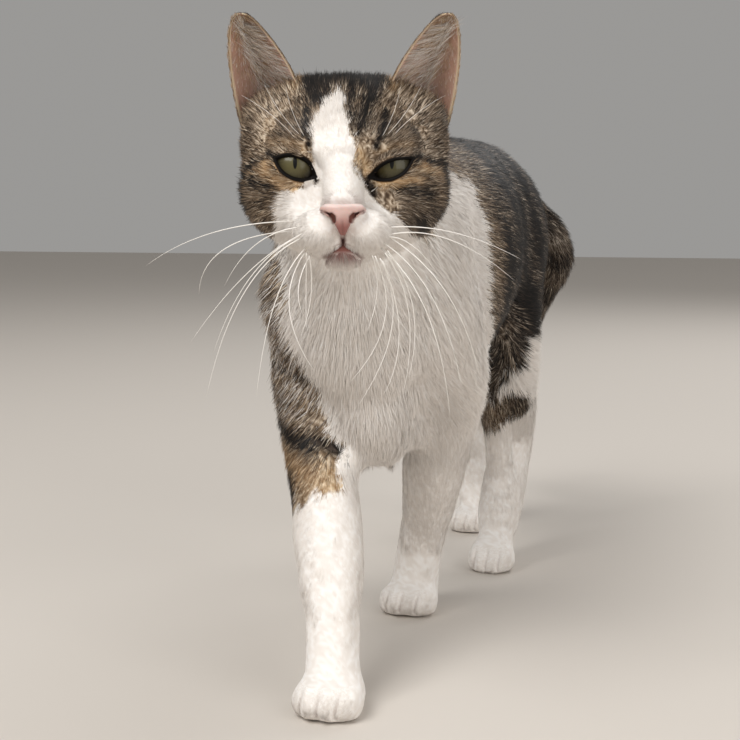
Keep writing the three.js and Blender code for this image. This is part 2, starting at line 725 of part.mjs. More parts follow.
function build() {
  const cat = new THREE.Group();
  const add = (name, solid, look) => cat.add(meshOf(name, solid, look));

  // trunk: what is left once everything else is taken off
  let core = polygonise(animal, [-75, -70, 85], [75, 320, 295], CELL.trunk);
  for (const cut of ["neck", "foreRight", "foreLeft", "hindRight", "hindLeft", "tail"])
    core = leftBehind(core, cuts[cut]);
  add("trunk", core, fur.tabby);

  const throat = polygonise(animal, [-70, -120, 110], [75, 30, 290], CELL.neck);
  add("neck", leftBehind(takenOff(throat, cuts.neck), cuts.head), fur.tabby);

  const tailSolid = takenOff(
    polygonise(withTail, [-60, 240, 55], [70, 460, 275], CELL.tail), cuts.tail);
  add("tail_base", leftBehind(tailSolid, cuts.tailTip), fur.tabby);
  add("tail_tip", takenOff(tailSolid, cuts.tailTip), fur.tabby);

  for (const [side, cut, form, box] of [
    ["right", "Right", "foreRight", [[-75, -125, -6], [30, 60, 235]]],
    ["left", "Left", "foreLeft", [[-35, -50, -6], [75, 125, 235]]],
  ]) {
    const leg = takenOff(polygonise(limbs[form], ...box, CELL.leg), cuts[form]);
    add("foreleg_" + side, leftBehind(leg, cuts["pawFore" + cut]), fur.white);
    const high = [box[1][0], box[1][1], 60];
    const foot = takenOff(polygonise(limbs[form], box[0], high, CELL.paw), cuts["pawFore" + cut]);
    add("forepaw_" + side, onFloor(foot), fur.white);
  }

  for (const [side, cut, form, box] of [
    ["right", "Right", "hindRight", [[-80, 130, -6], [10, 350, 255]]],
    ["left", "Left", "hindLeft", [[-10, 120, -6], [80, 310, 255]]],
  ]) {
    const leg = takenOff(polygonise(limbs[form], ...box, CELL.leg), cuts[form]);
    const shank = takenOff(leg, cuts["shank" + cut]);
    add("thigh_" + side, leftBehind(leg, cuts["shank" + cut]), fur.tabby);
    add("hindleg_" + side, leftBehind(shank, cuts["pawHind" + cut]), fur.white);
    const high = [box[1][0], box[1][1], 60];
    const foot = takenOff(polygonise(limbs[form], box[0], high, CELL.paw), cuts["pawHind" + cut]);
    add("hindpaw_" + side, onFloor(foot), fur.white);
  }

  // head, with sockets, lids and a seat for the nose
  const [low, high] = [[-54, -44, -54], [54, 66, 50]];
  const whole = (x, y, z) => {
    const p = inHead([x, y, z]);
    return animal(...p);
  };
  let face = takenOff(polygonise(whole, low, high, CELL.head), [HEAD_CUT]);
  const skinOver = polygonise((x, y, z) => whole(x, y, z) - KERF, low, high, CELL.head);
  const still = new THREE.Matrix4();
  for (const side of [1, -1]) {
    const centre = side > 0 ? eyeAt : mirrored(eyeAt);
    face = face.add(sphere(EYE_RADIUS + LID_THICKNESS, centre, still));
    face = face.subtract(lidOpening(side));
  }
  for (const side of [1, -1]) {
    const centre = side > 0 ? eyeAt : mirrored(eyeAt);
    face = face.subtract(sphere(EYE_RADIUS + KERF, centre, still));
  }
  const noseBox = [[-14, -42, -36], [14, -18, -12]];
  const noseSeat = polygonise((x, y, z) => noseForm(x, y, z) - KERF, ...noseBox, CELL.nose);
  const stand = (solid) => solid.transform(headMatrix.elements);
  add("head", stand(face.subtract(noseSeat)), fur.tabby);
  add("nose", stand(polygonise(noseForm, ...noseBox, CELL.nose)), wet.nose);
  for (const [name, side] of [["left", 1], ["right", -1]]) {
    const centre = side > 0 ? eyeAt : mirrored(eyeAt);
    add("eye_" + name, stand(sphere(EYE_RADIUS, centre, still)), wet.iris);
    const seated = takenOff(earSolid(side).subtract(skinOver), [HEAD_CUT]);
    add("ear_" + name, stand(seated), fur.ear);
  }
  const headMesh = cat.getObjectByName("head");
  for (const [side, rows] of Object.entries(WHISKERS))
    rows.forEach((spots, i) => add(`whisker_${side}_${i + 1}`, whisker(spots, headMesh), horn));
  return cat;
}

const cat = build();

// The origin is on the floor, under the middle of the whole cat.
const box = new THREE.Box3().setFromObject(cat);
const middle = box.getCenter(new THREE.Vector3());
cat.position.set(-middle.x, -middle.y, 0);

export default cat;
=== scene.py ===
# %% [markdown]
# # A walking short-haired cat
# A cat's look is three things: a soft form under the coat, the coat itself, and the bare wet parts,
# the eyes and the nose. The solids that arrive with the frame give the form out to the tips of the
# coat. Here a skin is drawn a little inside them, and the coat is planted on it as thin mesh blades.
# Particle hair would be quicker, but an exported model loses it, so every tuft is real mesh.

# %% Load the frame
import json
import math

import bpy
import numpy as np
import openvdb as vdb
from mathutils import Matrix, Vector

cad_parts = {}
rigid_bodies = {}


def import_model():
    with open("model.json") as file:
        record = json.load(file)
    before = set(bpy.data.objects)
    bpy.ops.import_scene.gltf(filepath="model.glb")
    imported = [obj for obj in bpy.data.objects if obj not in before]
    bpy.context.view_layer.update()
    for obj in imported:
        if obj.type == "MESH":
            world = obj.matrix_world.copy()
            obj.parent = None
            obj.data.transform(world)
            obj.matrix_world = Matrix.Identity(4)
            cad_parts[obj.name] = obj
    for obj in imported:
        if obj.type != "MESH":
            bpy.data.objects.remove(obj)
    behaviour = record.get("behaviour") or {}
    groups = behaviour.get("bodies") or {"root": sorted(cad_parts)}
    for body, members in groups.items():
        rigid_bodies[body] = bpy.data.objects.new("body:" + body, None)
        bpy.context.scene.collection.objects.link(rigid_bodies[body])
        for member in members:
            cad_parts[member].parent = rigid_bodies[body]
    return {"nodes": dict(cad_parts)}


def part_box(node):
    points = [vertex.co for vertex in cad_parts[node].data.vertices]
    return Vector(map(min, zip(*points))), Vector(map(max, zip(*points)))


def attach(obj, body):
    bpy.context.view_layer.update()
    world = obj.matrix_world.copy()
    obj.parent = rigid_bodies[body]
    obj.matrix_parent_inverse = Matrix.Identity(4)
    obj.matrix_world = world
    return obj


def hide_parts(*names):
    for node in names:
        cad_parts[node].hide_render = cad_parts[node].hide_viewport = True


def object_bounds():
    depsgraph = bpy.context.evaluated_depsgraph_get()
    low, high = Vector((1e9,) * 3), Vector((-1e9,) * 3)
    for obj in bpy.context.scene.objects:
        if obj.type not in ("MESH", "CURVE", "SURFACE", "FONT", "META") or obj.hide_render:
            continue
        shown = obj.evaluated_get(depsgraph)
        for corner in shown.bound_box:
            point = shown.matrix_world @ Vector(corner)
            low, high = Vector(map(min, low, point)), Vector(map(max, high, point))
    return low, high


# The scene has to start empty: Blender's default cube would be measured along with the solids.
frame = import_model()
cad_low, cad_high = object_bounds()
MM = 0.001
rng = np.random.default_rng(7)
print("solids reach", [round(v / MM) for v in cad_low], [round(v / MM) for v in cad_high])

# %% [markdown]
# ## Distance fields
# Flesh has no edges, so it is modelled as a distance field: a number at each point that is negative
# inside. Fields melt together and are carved as clay is, and a finer copy can be drawn anywhere.
# The body's field is measured from the solids. The head's is made of its own forms, because lids,
# lips and whisker pads are far finer than the solids are.

# %% Tools for fields, in millimetres
def melt(soft, *fields):
    """Smooth union: fields nearer than soft flow together."""
    d = fields[0]
    for e in fields[1:]:
        h = np.maximum(soft - np.abs(d - e), 0) / soft
        d = np.minimum(d, e) - h * h * soft / 4
    return d


def carve(soft, d, *tools):
    """Smooth carving: takes the tools out of the form."""
    for tool in tools:
        h = np.maximum(soft - np.abs(d + tool), 0) / soft
        d = np.maximum(d, -tool) + h * h * soft / 4
    return d


def ellipsoid(p, centre, radii):
    """Distance from an ellipsoid, true near its surface and close enough beyond."""
    q = (p - np.asarray(centre)) / np.asarray(radii)
    k0 = np.linalg.norm(q, axis=-1)
    k1 = np.linalg.norm(q / np.asarray(radii), axis=-1)
    return k0 * (k0 - 1) / np.maximum(k1, 1e-9)


def pair(p, centre, radii):
    """The same ellipsoid on both sides of the middle."""
    q = np.stack([np.abs(p[..., 0]), p[..., 1], p[..., 2]], axis=-1)
    return ellipsoid(q, centre, radii)


def limb(p, stations):
    """An elliptical tube in the plane x = 0: stations are (y, z, half width, half depth)."""
    best = np.full(p.shape[:-1], 1e9)
    for (y0, z0, w0, d0), (y1, z1, w1, d1) in zip(stations, stations[1:]):
        along = np.array([y1 - y0, z1 - z0])
        t = ((p[..., 1] - y0) * along[0] + (p[..., 2] - z0) * along[1]) / (along @ along)
        t = np.clip(t, 0, 1)
        ry = p[..., 1] - y0 - t * along[0]
        rz = p[..., 2] - z0 - t * along[1]
        w = w0 + t * (w1 - w0)
        d = d0 + t * (d1 - d0)
        k = np.sqrt((p[..., 0] / w) ** 2 + (ry * ry + rz * rz) / (d * d))
        best = np.minimum(best, (k - 1) * np.minimum(w, d))
    return best


def smoothstep(low, high, x):
    t = np.clip((x - low) / (high - low), 0, 1)
    return t * t * (3 - 2 * t)


def bump(x, centre, width):
    return np.exp(-(((x - centre) / width) ** 2))


def line(at, *stops):
    """A value that runs between (place, value) stops."""
    places, values = zip(*stops)
    return np.interp(at, places, values)


def to_segment(a, b, p0, p1):
    """Distance in a plane from points (a, b) to the stroke p0-p1."""
    dx, dz = p1[0] - p0[0], p1[1] - p0[1]
    t = np.clip(((a - p0[0]) * dx + (b - p0[1]) * dz) / (dx * dx + dz * dz), 0, 1)
    return np.hypot(a - p0[0] - t * dx, b - p0[1] - t * dz)


# %% [markdown]
# ## The head's own frame
# The eyes say where the head is: x runs from the right eye to the left one, y back into the skull
# and z up. Only the small nod can't be read from two points, so it is a named value.

# %% Stand the head's frame on the eyes
EYE_RADIUS = 11.0
EYE_AT = np.array([20.5, 9.8, 0.0])
HEAD_NOD = math.radians(-2.3)
FLESH = ["trunk", "neck", "head", "tail_base", "tail_tip"]
FLESH += [f"{part}_{side}" for side in ("left", "right")
          for part in ("foreleg", "forepaw", "thigh", "hindleg", "hindpaw")]


def centre_of(node):
    low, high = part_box(node)
    return np.array((low + high) / 2) / MM


eye_left, eye_right = centre_of("eye_left"), centre_of("eye_right")
turn = math.atan2(*(eye_left - eye_right)[[1, 0]])
turned = np.array([[math.cos(turn), -math.sin(turn), 0], [math.sin(turn), math.cos(turn), 0], [0, 0, 1]])
nodded = np.array([[1, 0, 0], [0, math.cos(HEAD_NOD), -math.sin(HEAD_NOD)],
                   [0, math.sin(HEAD_NOD), math.cos(HEAD_NOD)]])
HEAD = turned @ nodded
HEAD_AT = (eye_left + eye_right) / 2 - HEAD @ np.array([0, EYE_AT[1], 0])


def to_head(p):
    return (p - HEAD_AT) @ HEAD


def from_head(p):
    return p @ HEAD.T + HEAD_AT


print("head turned", round(math.degrees(turn), 1), "degrees, at", HEAD_AT.round(1))

# %% [markdown]
# ## The body's field
# The solids are parted by thin cuts. A first field, drawn slightly fat, closes those cuts; a second
# field measured from it gives clean distances. Their facets are then blurred away, less on the
# paws, whose toes would melt.

# %% Measure the solids
CELL = 2.15
MARGIN = 18.0
FATTEN = 0.9


def solids_as_triangles(names):
    points, faces, start = [], [], 0
    for name in names:
        mesh = frame["nodes"][name].data
        mesh.calc_loop_triangles()
        co = np.empty(len(mesh.vertices) * 3)
        mesh.vertices.foreach_get("co", co)
        tri = np.empty(len(mesh.loop_triangles) * 3, np.int32)
        mesh.loop_triangles.foreach_get("vertices", tri)
        points.append(co.reshape(-1, 3) / MM)
        faces.append(tri.reshape(-1, 3) + start)
        start += len(mesh.vertices)
    return np.concatenate(points), np.concatenate(faces)


def level_set(points, cell, band, **faces):
    place = vdb.createLinearTransform(voxelSize=cell)
    return vdb.FloatGrid.createLevelSetFromPolygons(
        points.astype(np.float32), transform=place, halfWidth=band, **faces)


def tail_share(p):
    """1 on the tail, which passes behind the planted hind foot but higher, and 0 elsewhere."""
    behind = smoothstep(114, 130, p[..., 1])
    return behind * np.maximum(smoothstep(105, 130, p[..., 2]), smoothstep(168, 178, p[..., 1]))


GRID_FROM = np.floor((np.array(cad_low) / MM - MARGIN) / CELL).astype(int)
GRID_TO = np.ceil((np.array(cad_high) / MM + MARGIN) / CELL).astype(int)


def blurred(field, sigma):
    """A Gaussian blur, sigma in cells, one axis at a time."""
    reach = int(3 * sigma) + 1
    weights = np.exp(-0.5 * (np.arange(-reach, reach + 1) / sigma) ** 2)
    weights /= weights.sum()
    for axis in range(3):
        wide = np.pad(field, [(reach, reach) if a == axis else (0, 0) for a in range(3)], mode="edge")
        size = field.shape[axis]
        field = sum(w * np.take(wide, range(i, i + size), axis) for i, w in enumerate(weights))
    return field


points, faces = solids_as_triangles(FLESH)
fat = level_set(points, CELL, 4, triangles=faces)
fat_points, fat_quads = fat.convertToQuads(isovalue=FATTEN)
closed = level_set(fat_points, CELL, 10, quads=fat_quads)
raw = np.empty(GRID_TO - GRID_FROM, np.float32)
closed.copyToArray(raw, ijk=tuple(int(v) for v in GRID_FROM))
raw += FATTEN
axes = [np.arange(a, b) * CELL for a, b in zip(GRID_FROM, GRID_TO)]
spots = np.stack(np.meshgrid(*axes, indexing="ij"), axis=-1).astype(np.float32)
by_height = smoothstep(26, 70, spots[..., 2])
softly = by_height * (1 - tail_share(spots))


def smoothed(field, sigma):
    """Blurs twice and takes the difference back, so thin limbs keep their girth."""
    once = blurred(field, sigma)
    return 2 * once - blurred(once, sigma)


solid_field = (1 - softly) * smoothed(raw, 0.9) + softly * smoothed(raw, 2.3)
print("body field", solid_field.shape, "cells")

# %% [markdown]
# Two soft forms hang free of the bones: the breast between the forelegs, and the fold of skin and
# muscle that fills the front of the thigh. They melt into the body here.

# %% Soft flesh
def hung(p):
    """The body's loose flesh, in the row's frame."""
    breast = limb(p - [4, 0, 0], [(-170, 128, 15, 18), (-150, 116, 14, 20), (-126, 114, 13, 14)])
    thigh = limb(p - [19, 0, 0], [(34, 118, 14, 17), (46, 86, 9.5, 13), (52, 58, 7.5, 10), (50, 40, 6, 8)])
    return breast, thigh


solid_field = melt(14, solid_field, *hung(spots))

# %% [markdown]
# ## How deep the coat is
# The skin lies inside the solids by the coat's depth: a fraction of a millimetre on the paws, 1 on the
# front of the face, 4 on the back and flanks, and most on the breast and cheeks. The forearms are
# fuller than their solids, so there the depth falls below nothing and the skin stands outside them.

# %% Coat depth
def coat_depth(p):
    """Millimetres between the tips of the coat and the skin, on the body."""
    y, z = p[..., 1], p[..., 2]
    depth = 0.2 + 3.9 * smoothstep(45, 150, z)
    depth = depth - np.where(p[..., 0] < 0, 1.7, 1.0) * bump(z, 62, 26) * smoothstep(-80, -100, y)
    depth = depth + 1.0 * smoothstep(-130, -200, y) * smoothstep(110, 150, z)
    return depth + (3.4 - 1.2 * smoothstep(235, 262, y) - depth) * tail_share(p)


def face_depth(q):
    """The same on the head, in the head's frame."""
    x, y, z = np.abs(q[..., 0]), q[..., 1], q[..., 2]
    depth = 1.0 + 1.6 * smoothstep(-16, 22, y) + 2.4 * smoothstep(24, 42, x) * smoothstep(12, -8, z)
    return depth + 0.8 * smoothstep(-34, -42, z)


def head_share(q):
    """1 on the head and 0 down the neck, to blend what is ruled by each."""
    return smoothstep(62, 44, q[:, 1]) * smoothstep(-52, -42, q[:, 2])


# %% [markdown]
# ## The head
# A cat's skull is round, with a short muzzle, full whisker pads and a small chin. The lids are a thin
# shell over each eyeball, cut open in a slanted almond: the upper lid runs nearly straight from a low
# inner corner to a high outer one, which gives the stern look. Small furrows, such as the mouth, are
# made by raising the field along a stroke, which presses the skin in just there.

# %% Head forms
LID_THICKNESS = 1.3
LID_INNER = np.array([11.4, -4.1])
LID_OUTER = np.array([29.4, 3.7])
LID_ABOVE = {"right": 5.0, "left": 2.7}  # the left eye is held a little more closed
LID_BELOW = 4.7
LID_FOLD_AWAY, LID_FOLD_DEEP = 3.4, 0.4
# The mouth's strokes on the left, each from x, z to x, z: the groove under the nose, then the lips.
MOUTH = [(0, -30, 0, -33.2), (0, -33.2, 3.9, -35.3), (3.9, -35.3, 8.2, -38.3), (8.2, -38.3, 15, -38.5)]
MOUTH_DEEP, MOUTH_WIDE = 1.5, 0.75


def bezier_height(length, first, second):
    """Heights of an arch over its chord, with the two handles given as (share, height)."""
    t = np.linspace(0, 1, 40)
    along = 3 * (1 - t) ** 2 * t * first[0] + 3 * (1 - t) * t * t * second[0] + t ** 3
    height = 3 * (1 - t) ** 2 * t * first[1] + 3 * (1 - t) * t * t * second[1]
    return along * length, height


lid_length = float(np.hypot(*(LID_OUTER - LID_INNER)))
lid_way = (LID_OUTER - LID_INNER) / lid_length
upper_lids = {side: bezier_height(lid_length, (0.28, 1.45 * above), (0.74, 1.18 * above))
              for side, above in LID_ABOVE.items()}
lower_lid = bezier_height(lid_length, (0.22, -1.25 * LID_BELOW), (0.72, -1.45 * LID_BELOW))


def lid_gap(q):
    """Distance to the edge of the opening between the lids, seen from in front, negative inside."""
    ax, az = np.abs(q[..., 0]) - LID_INNER[0], q[..., 2] - LID_INNER[1]
    s = ax * lid_way[0] + az * lid_way[1]
    t = az * lid_way[0] - ax * lid_way[1]
    held = np.clip(s, 0, lid_length)
    over = t - np.where(q[..., 0] > 0, np.interp(held, *upper_lids["left"]),
                        np.interp(held, *upper_lids["right"]))
    under = np.interp(held, *lower_lid) - t
    return np.hypot(np.maximum(np.maximum(over, under), 0), s - held) + np.minimum(
        np.maximum(over, under), 0)


def head_field(q):
    """The head's skin in its own frame."""
    skull = melt(
        10,
        ellipsoid(q, [0, 30, 9.5], [35, 36, 32.5]),  # cranium
        ellipsoid(q, [0, 15, 5], [30, 20, 19]),  # brow
        pair(q, [19, 8.5, 11.5], [12, 9.5, 6.5]),  # ridges over the eyes
        pair(q, [19, 33, 28.5], [12.5, 16, 12.5]),  # roots of the ears
        pair(q, [22, 18, -11], [16, 17, 13]),  # cheekbones
        pair(q, [25.5, 26, -10], [22, 25, 21]),  # cheeks
        pair(q, [33.4, 32, 13.0], [14.2, 18, 21.5]),  # temples, below the ears
        pair(q, [13.5, 19, -23], [18, 24, 13.5]),  # jaws
    )
    muzzle = melt(
        6,
        limb(q, [(14, 6, 13, 15), (-6, -4, 10.5, 13), (-22, -18, 8.5, 9)]),
        pair(q, [9.6, -12, -27.4], [12, 16, 10.2]),  # whisker pads
        ellipsoid(q, [0, -9, -36.5], [10.0, 12.6, 8.0]),  # chin
    )
    d = carve(4, melt(8, skull, muzzle), pair(q, [15, -8, -3], [5, 8, 7]))
    d = d + face_depth(q)
    d = melt(3.0, d, pair(q, EYE_AT, [EYE_RADIUS + LID_THICKNESS] * 3))
    fold = bump(lid_gap(q), LID_FOLD_AWAY, 1.0) * (q[..., 1] < EYE_AT[1])
    return d + LID_FOLD_DEEP * fold


def to_mouth(q, parts=MOUTH):
    """Distance from the mouth's strokes, on both sides, seen from in front."""
    ax, z = np.abs(q[..., 0]), q[..., 2]
    return np.min([to_segment(ax, z, part[:2], part[2:]) for part in parts], axis=0)


def furrowed(d, q):
    """The field with the furrows of the mouth and lip pressed in."""
    fading = smoothstep(17, 7, np.abs(q[..., 0])) * smoothstep(2, -4, q[..., 1])
    return d + MOUTH_DEEP * fading * bump(to_mouth(q), 0, MOUTH_WIDE)


print("eyes' opening", round(lid_length, 1), "mm long")


# %% [markdown]
# ## One skin
# Body and head fields melt into one, so the neck has no seam. The skin is drawn from the field at a
# cell of about two millimetres, which is fine enough for all but the face and the toes.

# %% Draw the skin
HEAD_BOX = np.array([[-58, -46, -60], [58, 78, 60]])
FAR_FROM_SKIN = 12.0


def sampled(field, p):
    """The gridded field at any points, blended from the eight cells around each."""
    at = p / CELL - GRID_FROM
    base = np.clip(np.floor(at).astype(int), 0, np.array(field.shape) - 2)
    share = np.clip(at - base, 0, 1)
    total = 0
    for corner in np.ndindex(2, 2, 2):
        weight = np.prod(np.where(corner, share, 1 - share), axis=-1)
        i, j, k = (base + corner).T
        total = total + weight * field[i, j, k]
    return total


def with_head(body, p):
    """Melts the head into the body's values at points p, near the head only."""
    q = to_head(p)
    near = np.all((q > HEAD_BOX[0]) & (q < HEAD_BOX[1]), axis=-1)
    result = np.array(body, float)
    qn = q[near]
    sunk = 3.0 * smoothstep(46, 30, qn[..., 1]) + 4.0 * smoothstep(14, -6, qn[..., 1])
    result[near] = furrowed(melt(6, body[near] + sunk, head_field(qn)), qn)
    return result


body_field = solid_field + coat_depth(spots)
skin_grid = with_head(body_field, spots)
drawn = vdb.FloatGrid(background=FAR_FROM_SKIN)
drawn.copyFromArray(skin_grid.astype(np.float32), ijk=tuple(int(v) for v in GRID_FROM))
drawn.transform = vdb.createLinearTransform(voxelSize=CELL)
drawn_points, drawn_quads = drawn.convertToQuads(isovalue=0)
print("skin drawn with", len(drawn_quads), "faces")

# %% [markdown]
# A mesh can be filled straight from arrays, which is far quicker than adding one face at a time. All
# sculpting is in millimetres, and only these few helpers turn it to Blender's metres and back.

# %% Meshes from arrays
def mesh_object(name, points, faces):
    """A mesh object from points in millimetres, its place in its mesh."""
    mesh = bpy.data.meshes.new(name)
    sides = faces.shape[1]
    mesh.vertices.add(len(points))
    mesh.vertices.foreach_set("co", (np.asarray(points) * MM).astype(np.float32).ravel())
    mesh.loops.add(faces.size)
    mesh.loops.foreach_set("vertex_index", np.ascontiguousarray(faces, np.int32).ravel())
    mesh.polygons.add(len(faces))
    mesh.polygons.foreach_set("loop_start", np.arange(0, faces.size, sides, dtype=np.int32))
    mesh.update(calc_edges=True)
    mesh.polygons.foreach_set("use_smooth", np.full(len(faces), True))
    made = bpy.data.objects.new(name, mesh)
    bpy.context.scene.collection.objects.link(made)
    return made


def points_of(obj):
    co = np.empty(len(obj.data.vertices) * 3)
    obj.data.vertices.foreach_get("co", co)
    return co.reshape(-1, 3) / MM


def put_points(obj, points):
    obj.data.vertices.foreach_set("co", (points * MM).ravel())
    obj.data.update()


def only(obj):
    bpy.ops.object.select_all(action="DESELECT")
    obj.select_set(True)
    bpy.context.view_layer.objects.active = obj


def outward(obj, close=0):
    """Turns every face outwards, then closes holes of up to so many sides."""
    only(obj)
    bpy.ops.object.mode_set(mode="EDIT")
    bpy.ops.mesh.select_all(action="SELECT")
    bpy.ops.mesh.normals_make_consistent(inside=False)
    if close:
        bpy.ops.mesh.fill_holes(sides=close)
    bpy.ops.object.mode_set(mode="OBJECT")


skin = mesh_object("skin", drawn_points, drawn_quads)
outward(skin)
print("skin mesh of", len(skin.data.vertices), "points")

# %% [markdown]
# A paw's toes are parted by furrows that run back from its front edge. They are placed by shares of
# the paw's own box, lean with its splay, and raise the field as the mouth does.

# %% Toe furrows
PAW_SPLAY = {"forepaw_left": 0.1, "forepaw_right": 0.05, "hindpaw_left": 0.1, "hindpaw_right": 0.1}
TOE_GAPS = (-0.52, -0.03, 0.47)
TOE_GAP_DEEP = TOE_GAP_WIDE = 0.9


def toe_gap(p):
    """Sideways distance to the nearest furrow between two toes, with how far it counts."""
    best, share = np.full(len(p), 9.0), np.zeros(len(p))
    for paw, splay in PAW_SPLAY.items():
        low, high = (np.array(v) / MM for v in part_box(paw))
        middle, half = (low + high) / 2, (high[0] - low[0]) / 2
        sideways = p[:, 0] - middle[0] + splay * (p[:, 1] - low[1]) + 0.6 * np.sin(0.35 * p[:, 2])
        gaps = [np.abs(sideways - place * half) for place in TOE_GAPS]
        inside = np.all((p > low - 4) & (p < high + 4), axis=1)
        front = smoothstep(0.5, 0.25, (p[:, 1] - low[1]) / (high[1] - low[1]))
        front = front * smoothstep(1, 4, p[:, 2]) * smoothstep(16, 8, p[:, 2])
        best = np.where(inside, np.min(gaps, axis=0), best)
        share = np.where(inside, front, share)
    return best, share


def field_at(p):
    near, share = toe_gap(p)
    furrow = TOE_GAP_DEEP * share * bump(near, 0, TOE_GAP_WIDE)
    return with_head(sampled(body_field, p) + furrow, p)


print("furrows on", len(PAW_SPLAY), "paws,", len(TOE_GAPS), "each")

# %% [markdown]
# Only the face and the toes need smaller faces. Subdividing adds the points, and each point is then
# moved down the field's slope until it lies where the field reads nothing.

# %% Refine the face and the toes
LONGEST_STEP = 0.8


def refine(obj, chosen):
    """Subdivides the faces whose middles chosen picks out."""
    only(obj)
    mesh = obj.data
    middle = np.empty(len(mesh.polygons) * 3)
    mesh.polygons.foreach_get("center", middle)
    picked = chosen(middle.reshape(-1, 3) / MM)
    mesh.vertices.foreach_set("select", np.zeros(len(mesh.vertices), bool))
    mesh.edges.foreach_set("select", np.zeros(len(mesh.edges), bool))
    mesh.polygons.foreach_set("select", picked)
    bpy.ops.object.mode_set(mode="EDIT")
    bpy.ops.mesh.select_mode(type="FACE")
    bpy.ops.mesh.subdivide(number_cuts=1)
    bpy.ops.object.mode_set(mode="OBJECT")
    return int(picked.sum())


def lay_on_field(obj, chosen):
    """Moves the chosen points onto the field's surface, in a few short steps."""
    points = points_of(obj)
    near = np.flatnonzero(chosen(points))
    p = points[near]
    h = 0.12
    for _ in range(3):
        d = field_at(p)
        slope = np.stack(
            [field_at(p + h * e) - field_at(p - h * e) for e in np.eye(3)], axis=-1) / (2 * h)
        steep = np.maximum((slope ** 2).sum(-1), 0.2)
        p = p - slope * np.clip(d / steep, -LONGEST_STEP, LONGEST_STEP)[:, None]
    points[near] = p
    put_points(obj, points)


def on_face(p):
    q = to_head(p)
    return (q[:, 1] < 22) & (np.abs(q[:, 0]) < 36) & (q[:, 2] > -48) & (q[:, 2] < 22)


def on_features(p):
    q = to_head(p)
    eyes = (lid_gap(q) < 3.5) & (q[:, 1] < 16)
    mouth = (np.abs(q[:, 0]) < 19) & (q[:, 2] < -28) & (q[:, 2] > -44) & (q[:, 1] < -4)
    return eyes | mouth


def on_lids(p):
    q = to_head(p)
    return (np.abs(lid_gap(q)) < 1.6) & (q[:, 1] < 14)


def on_toes(p):
    near, share = toe_gap(p)
    return (near < 3) & (share > 0.04)


def on_head(p):
    q = to_head(p)
    return np.all((q > HEAD_BOX[0] + 6) & (q < HEAD_BOX[1] - 6), axis=-1)


refined = []
for chosen in (on_face, on_features, on_lids):
    refined.append(refine(skin, chosen))
    lay_on_field(skin, on_head)
for _ in range(2):
    refined.append(refine(skin, on_toes))
    lay_on_field(skin, on_toes)
print("subdivided", refined, "faces in turn")

# %% [markdown]
# Between the lids the skin drops behind the eyeball, so the ball shows with a lid's thickness round it.

# %% Open the lids
BEHIND_BALL = 1.6

q = to_head(points_of(skin))
gap = lid_gap(q)
for side in (1, -1):
    away = q - EYE_AT * [side, 1, 1]
    radius = np.linalg.norm(away, axis=1)
    between = (away[:, 1] < 1) & (radius < EYE_RADIUS + 7) & (gap < 0.5)
    wanted = EYE_RADIUS - BEHIND_BALL + (radius - EYE_RADIUS + BEHIND_BALL) * smoothstep(-0.75, 0.1, gap)
    share = np.where(between, wanted / radius, 1)[:, None]
    q = EYE_AT * [side, 1, 1] + away * share
put_points(skin, from_head(q))
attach(skin, "root")
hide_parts(*FLESH)
print("skin", len(skin.data.polygons), "faces")

# %% [markdown]
# ## Ears
# A cat's ear is a thin cupped sheet, wide at the root, with its opening turned forward and out. One
# formula gives the sheet: across it, v runs from the inner edge to the outer, and along it, t runs
# from root to tip. It follows the same sizes as the solid, and is drawn much finer.

# %% Ear sheets
EAR_ROOT, EAR_BEND, EAR_TIP = np.array([[33.6, 30, 29.9], [39.5, 28, 50.5], [45.3, 25, 68.6]])
EAR_HALF, EAR_TILT, EAR_CUP, EAR_SKEW = 15.2, math.radians(31.6), 23.0, 8.0
EAR_THICK, EAR_THIN, EAR_SUNK = 2.6, 1.1, 0.30
EAR_ROWS, EAR_COLUMNS = 56, 40


def ear_sheet(t, v):
    """Places on the sheet. Below the root, where t is negative, it runs straight on into the head."""
    up = np.maximum(t, 0)[..., None]
    midline = (1 - up) ** 2 * EAR_ROOT + 2 * up * (1 - up) * EAR_BEND + up ** 2 * EAR_TIP
    first = (EAR_BEND - EAR_ROOT) / np.linalg.norm(EAR_BEND - EAR_ROOT)
    midline = midline + np.minimum(t, 0)[..., None] * 60 * first
    opened = np.maximum(t, 0)
    half = EAR_HALF * np.sqrt(np.maximum(1 - opened ** 1.25, 0)) * (1 + 0.25 * np.minimum(t, 0))
    tilt = EAR_TILT * (1 - opened) ** 1.5
    cup = EAR_CUP * (1 - opened) ** 0.75 * (1 - v * v)
    return np.stack([
        midline[..., 0] + half * v * np.cos(tilt) - 0.12 * cup,
        midline[..., 1] + cup + EAR_SKEW * v * (1 - opened),
        midline[..., 2] - half * v * np.sin(tilt)], axis=-1)


def ear_frame(t, v):
    """The sheet's middle and its outward normal, away from the cup."""
    e = 1e-3
    along = ear_sheet(t + e, v) - ear_sheet(t - e, v)
    across = ear_sheet(t, v + e) - ear_sheet(t, v - e)
    out = np.cross(along, across)
    return ear_sheet(t, v), out / np.maximum(np.linalg.norm(out, axis=-1, keepdims=True), 1e-9)


def ear_thickness(t, v):
    rim = np.sqrt(np.maximum(1 - np.abs(v) ** 6, 0.12))
    return (EAR_THICK + (EAR_THIN - EAR_THICK) * np.maximum(t, 0)) * rim


def ear_points(t, v, outside):
    middle, out = ear_frame(t, v)
    return middle + out * (ear_thickness(t, v) * (outside - 0.5))[..., None]


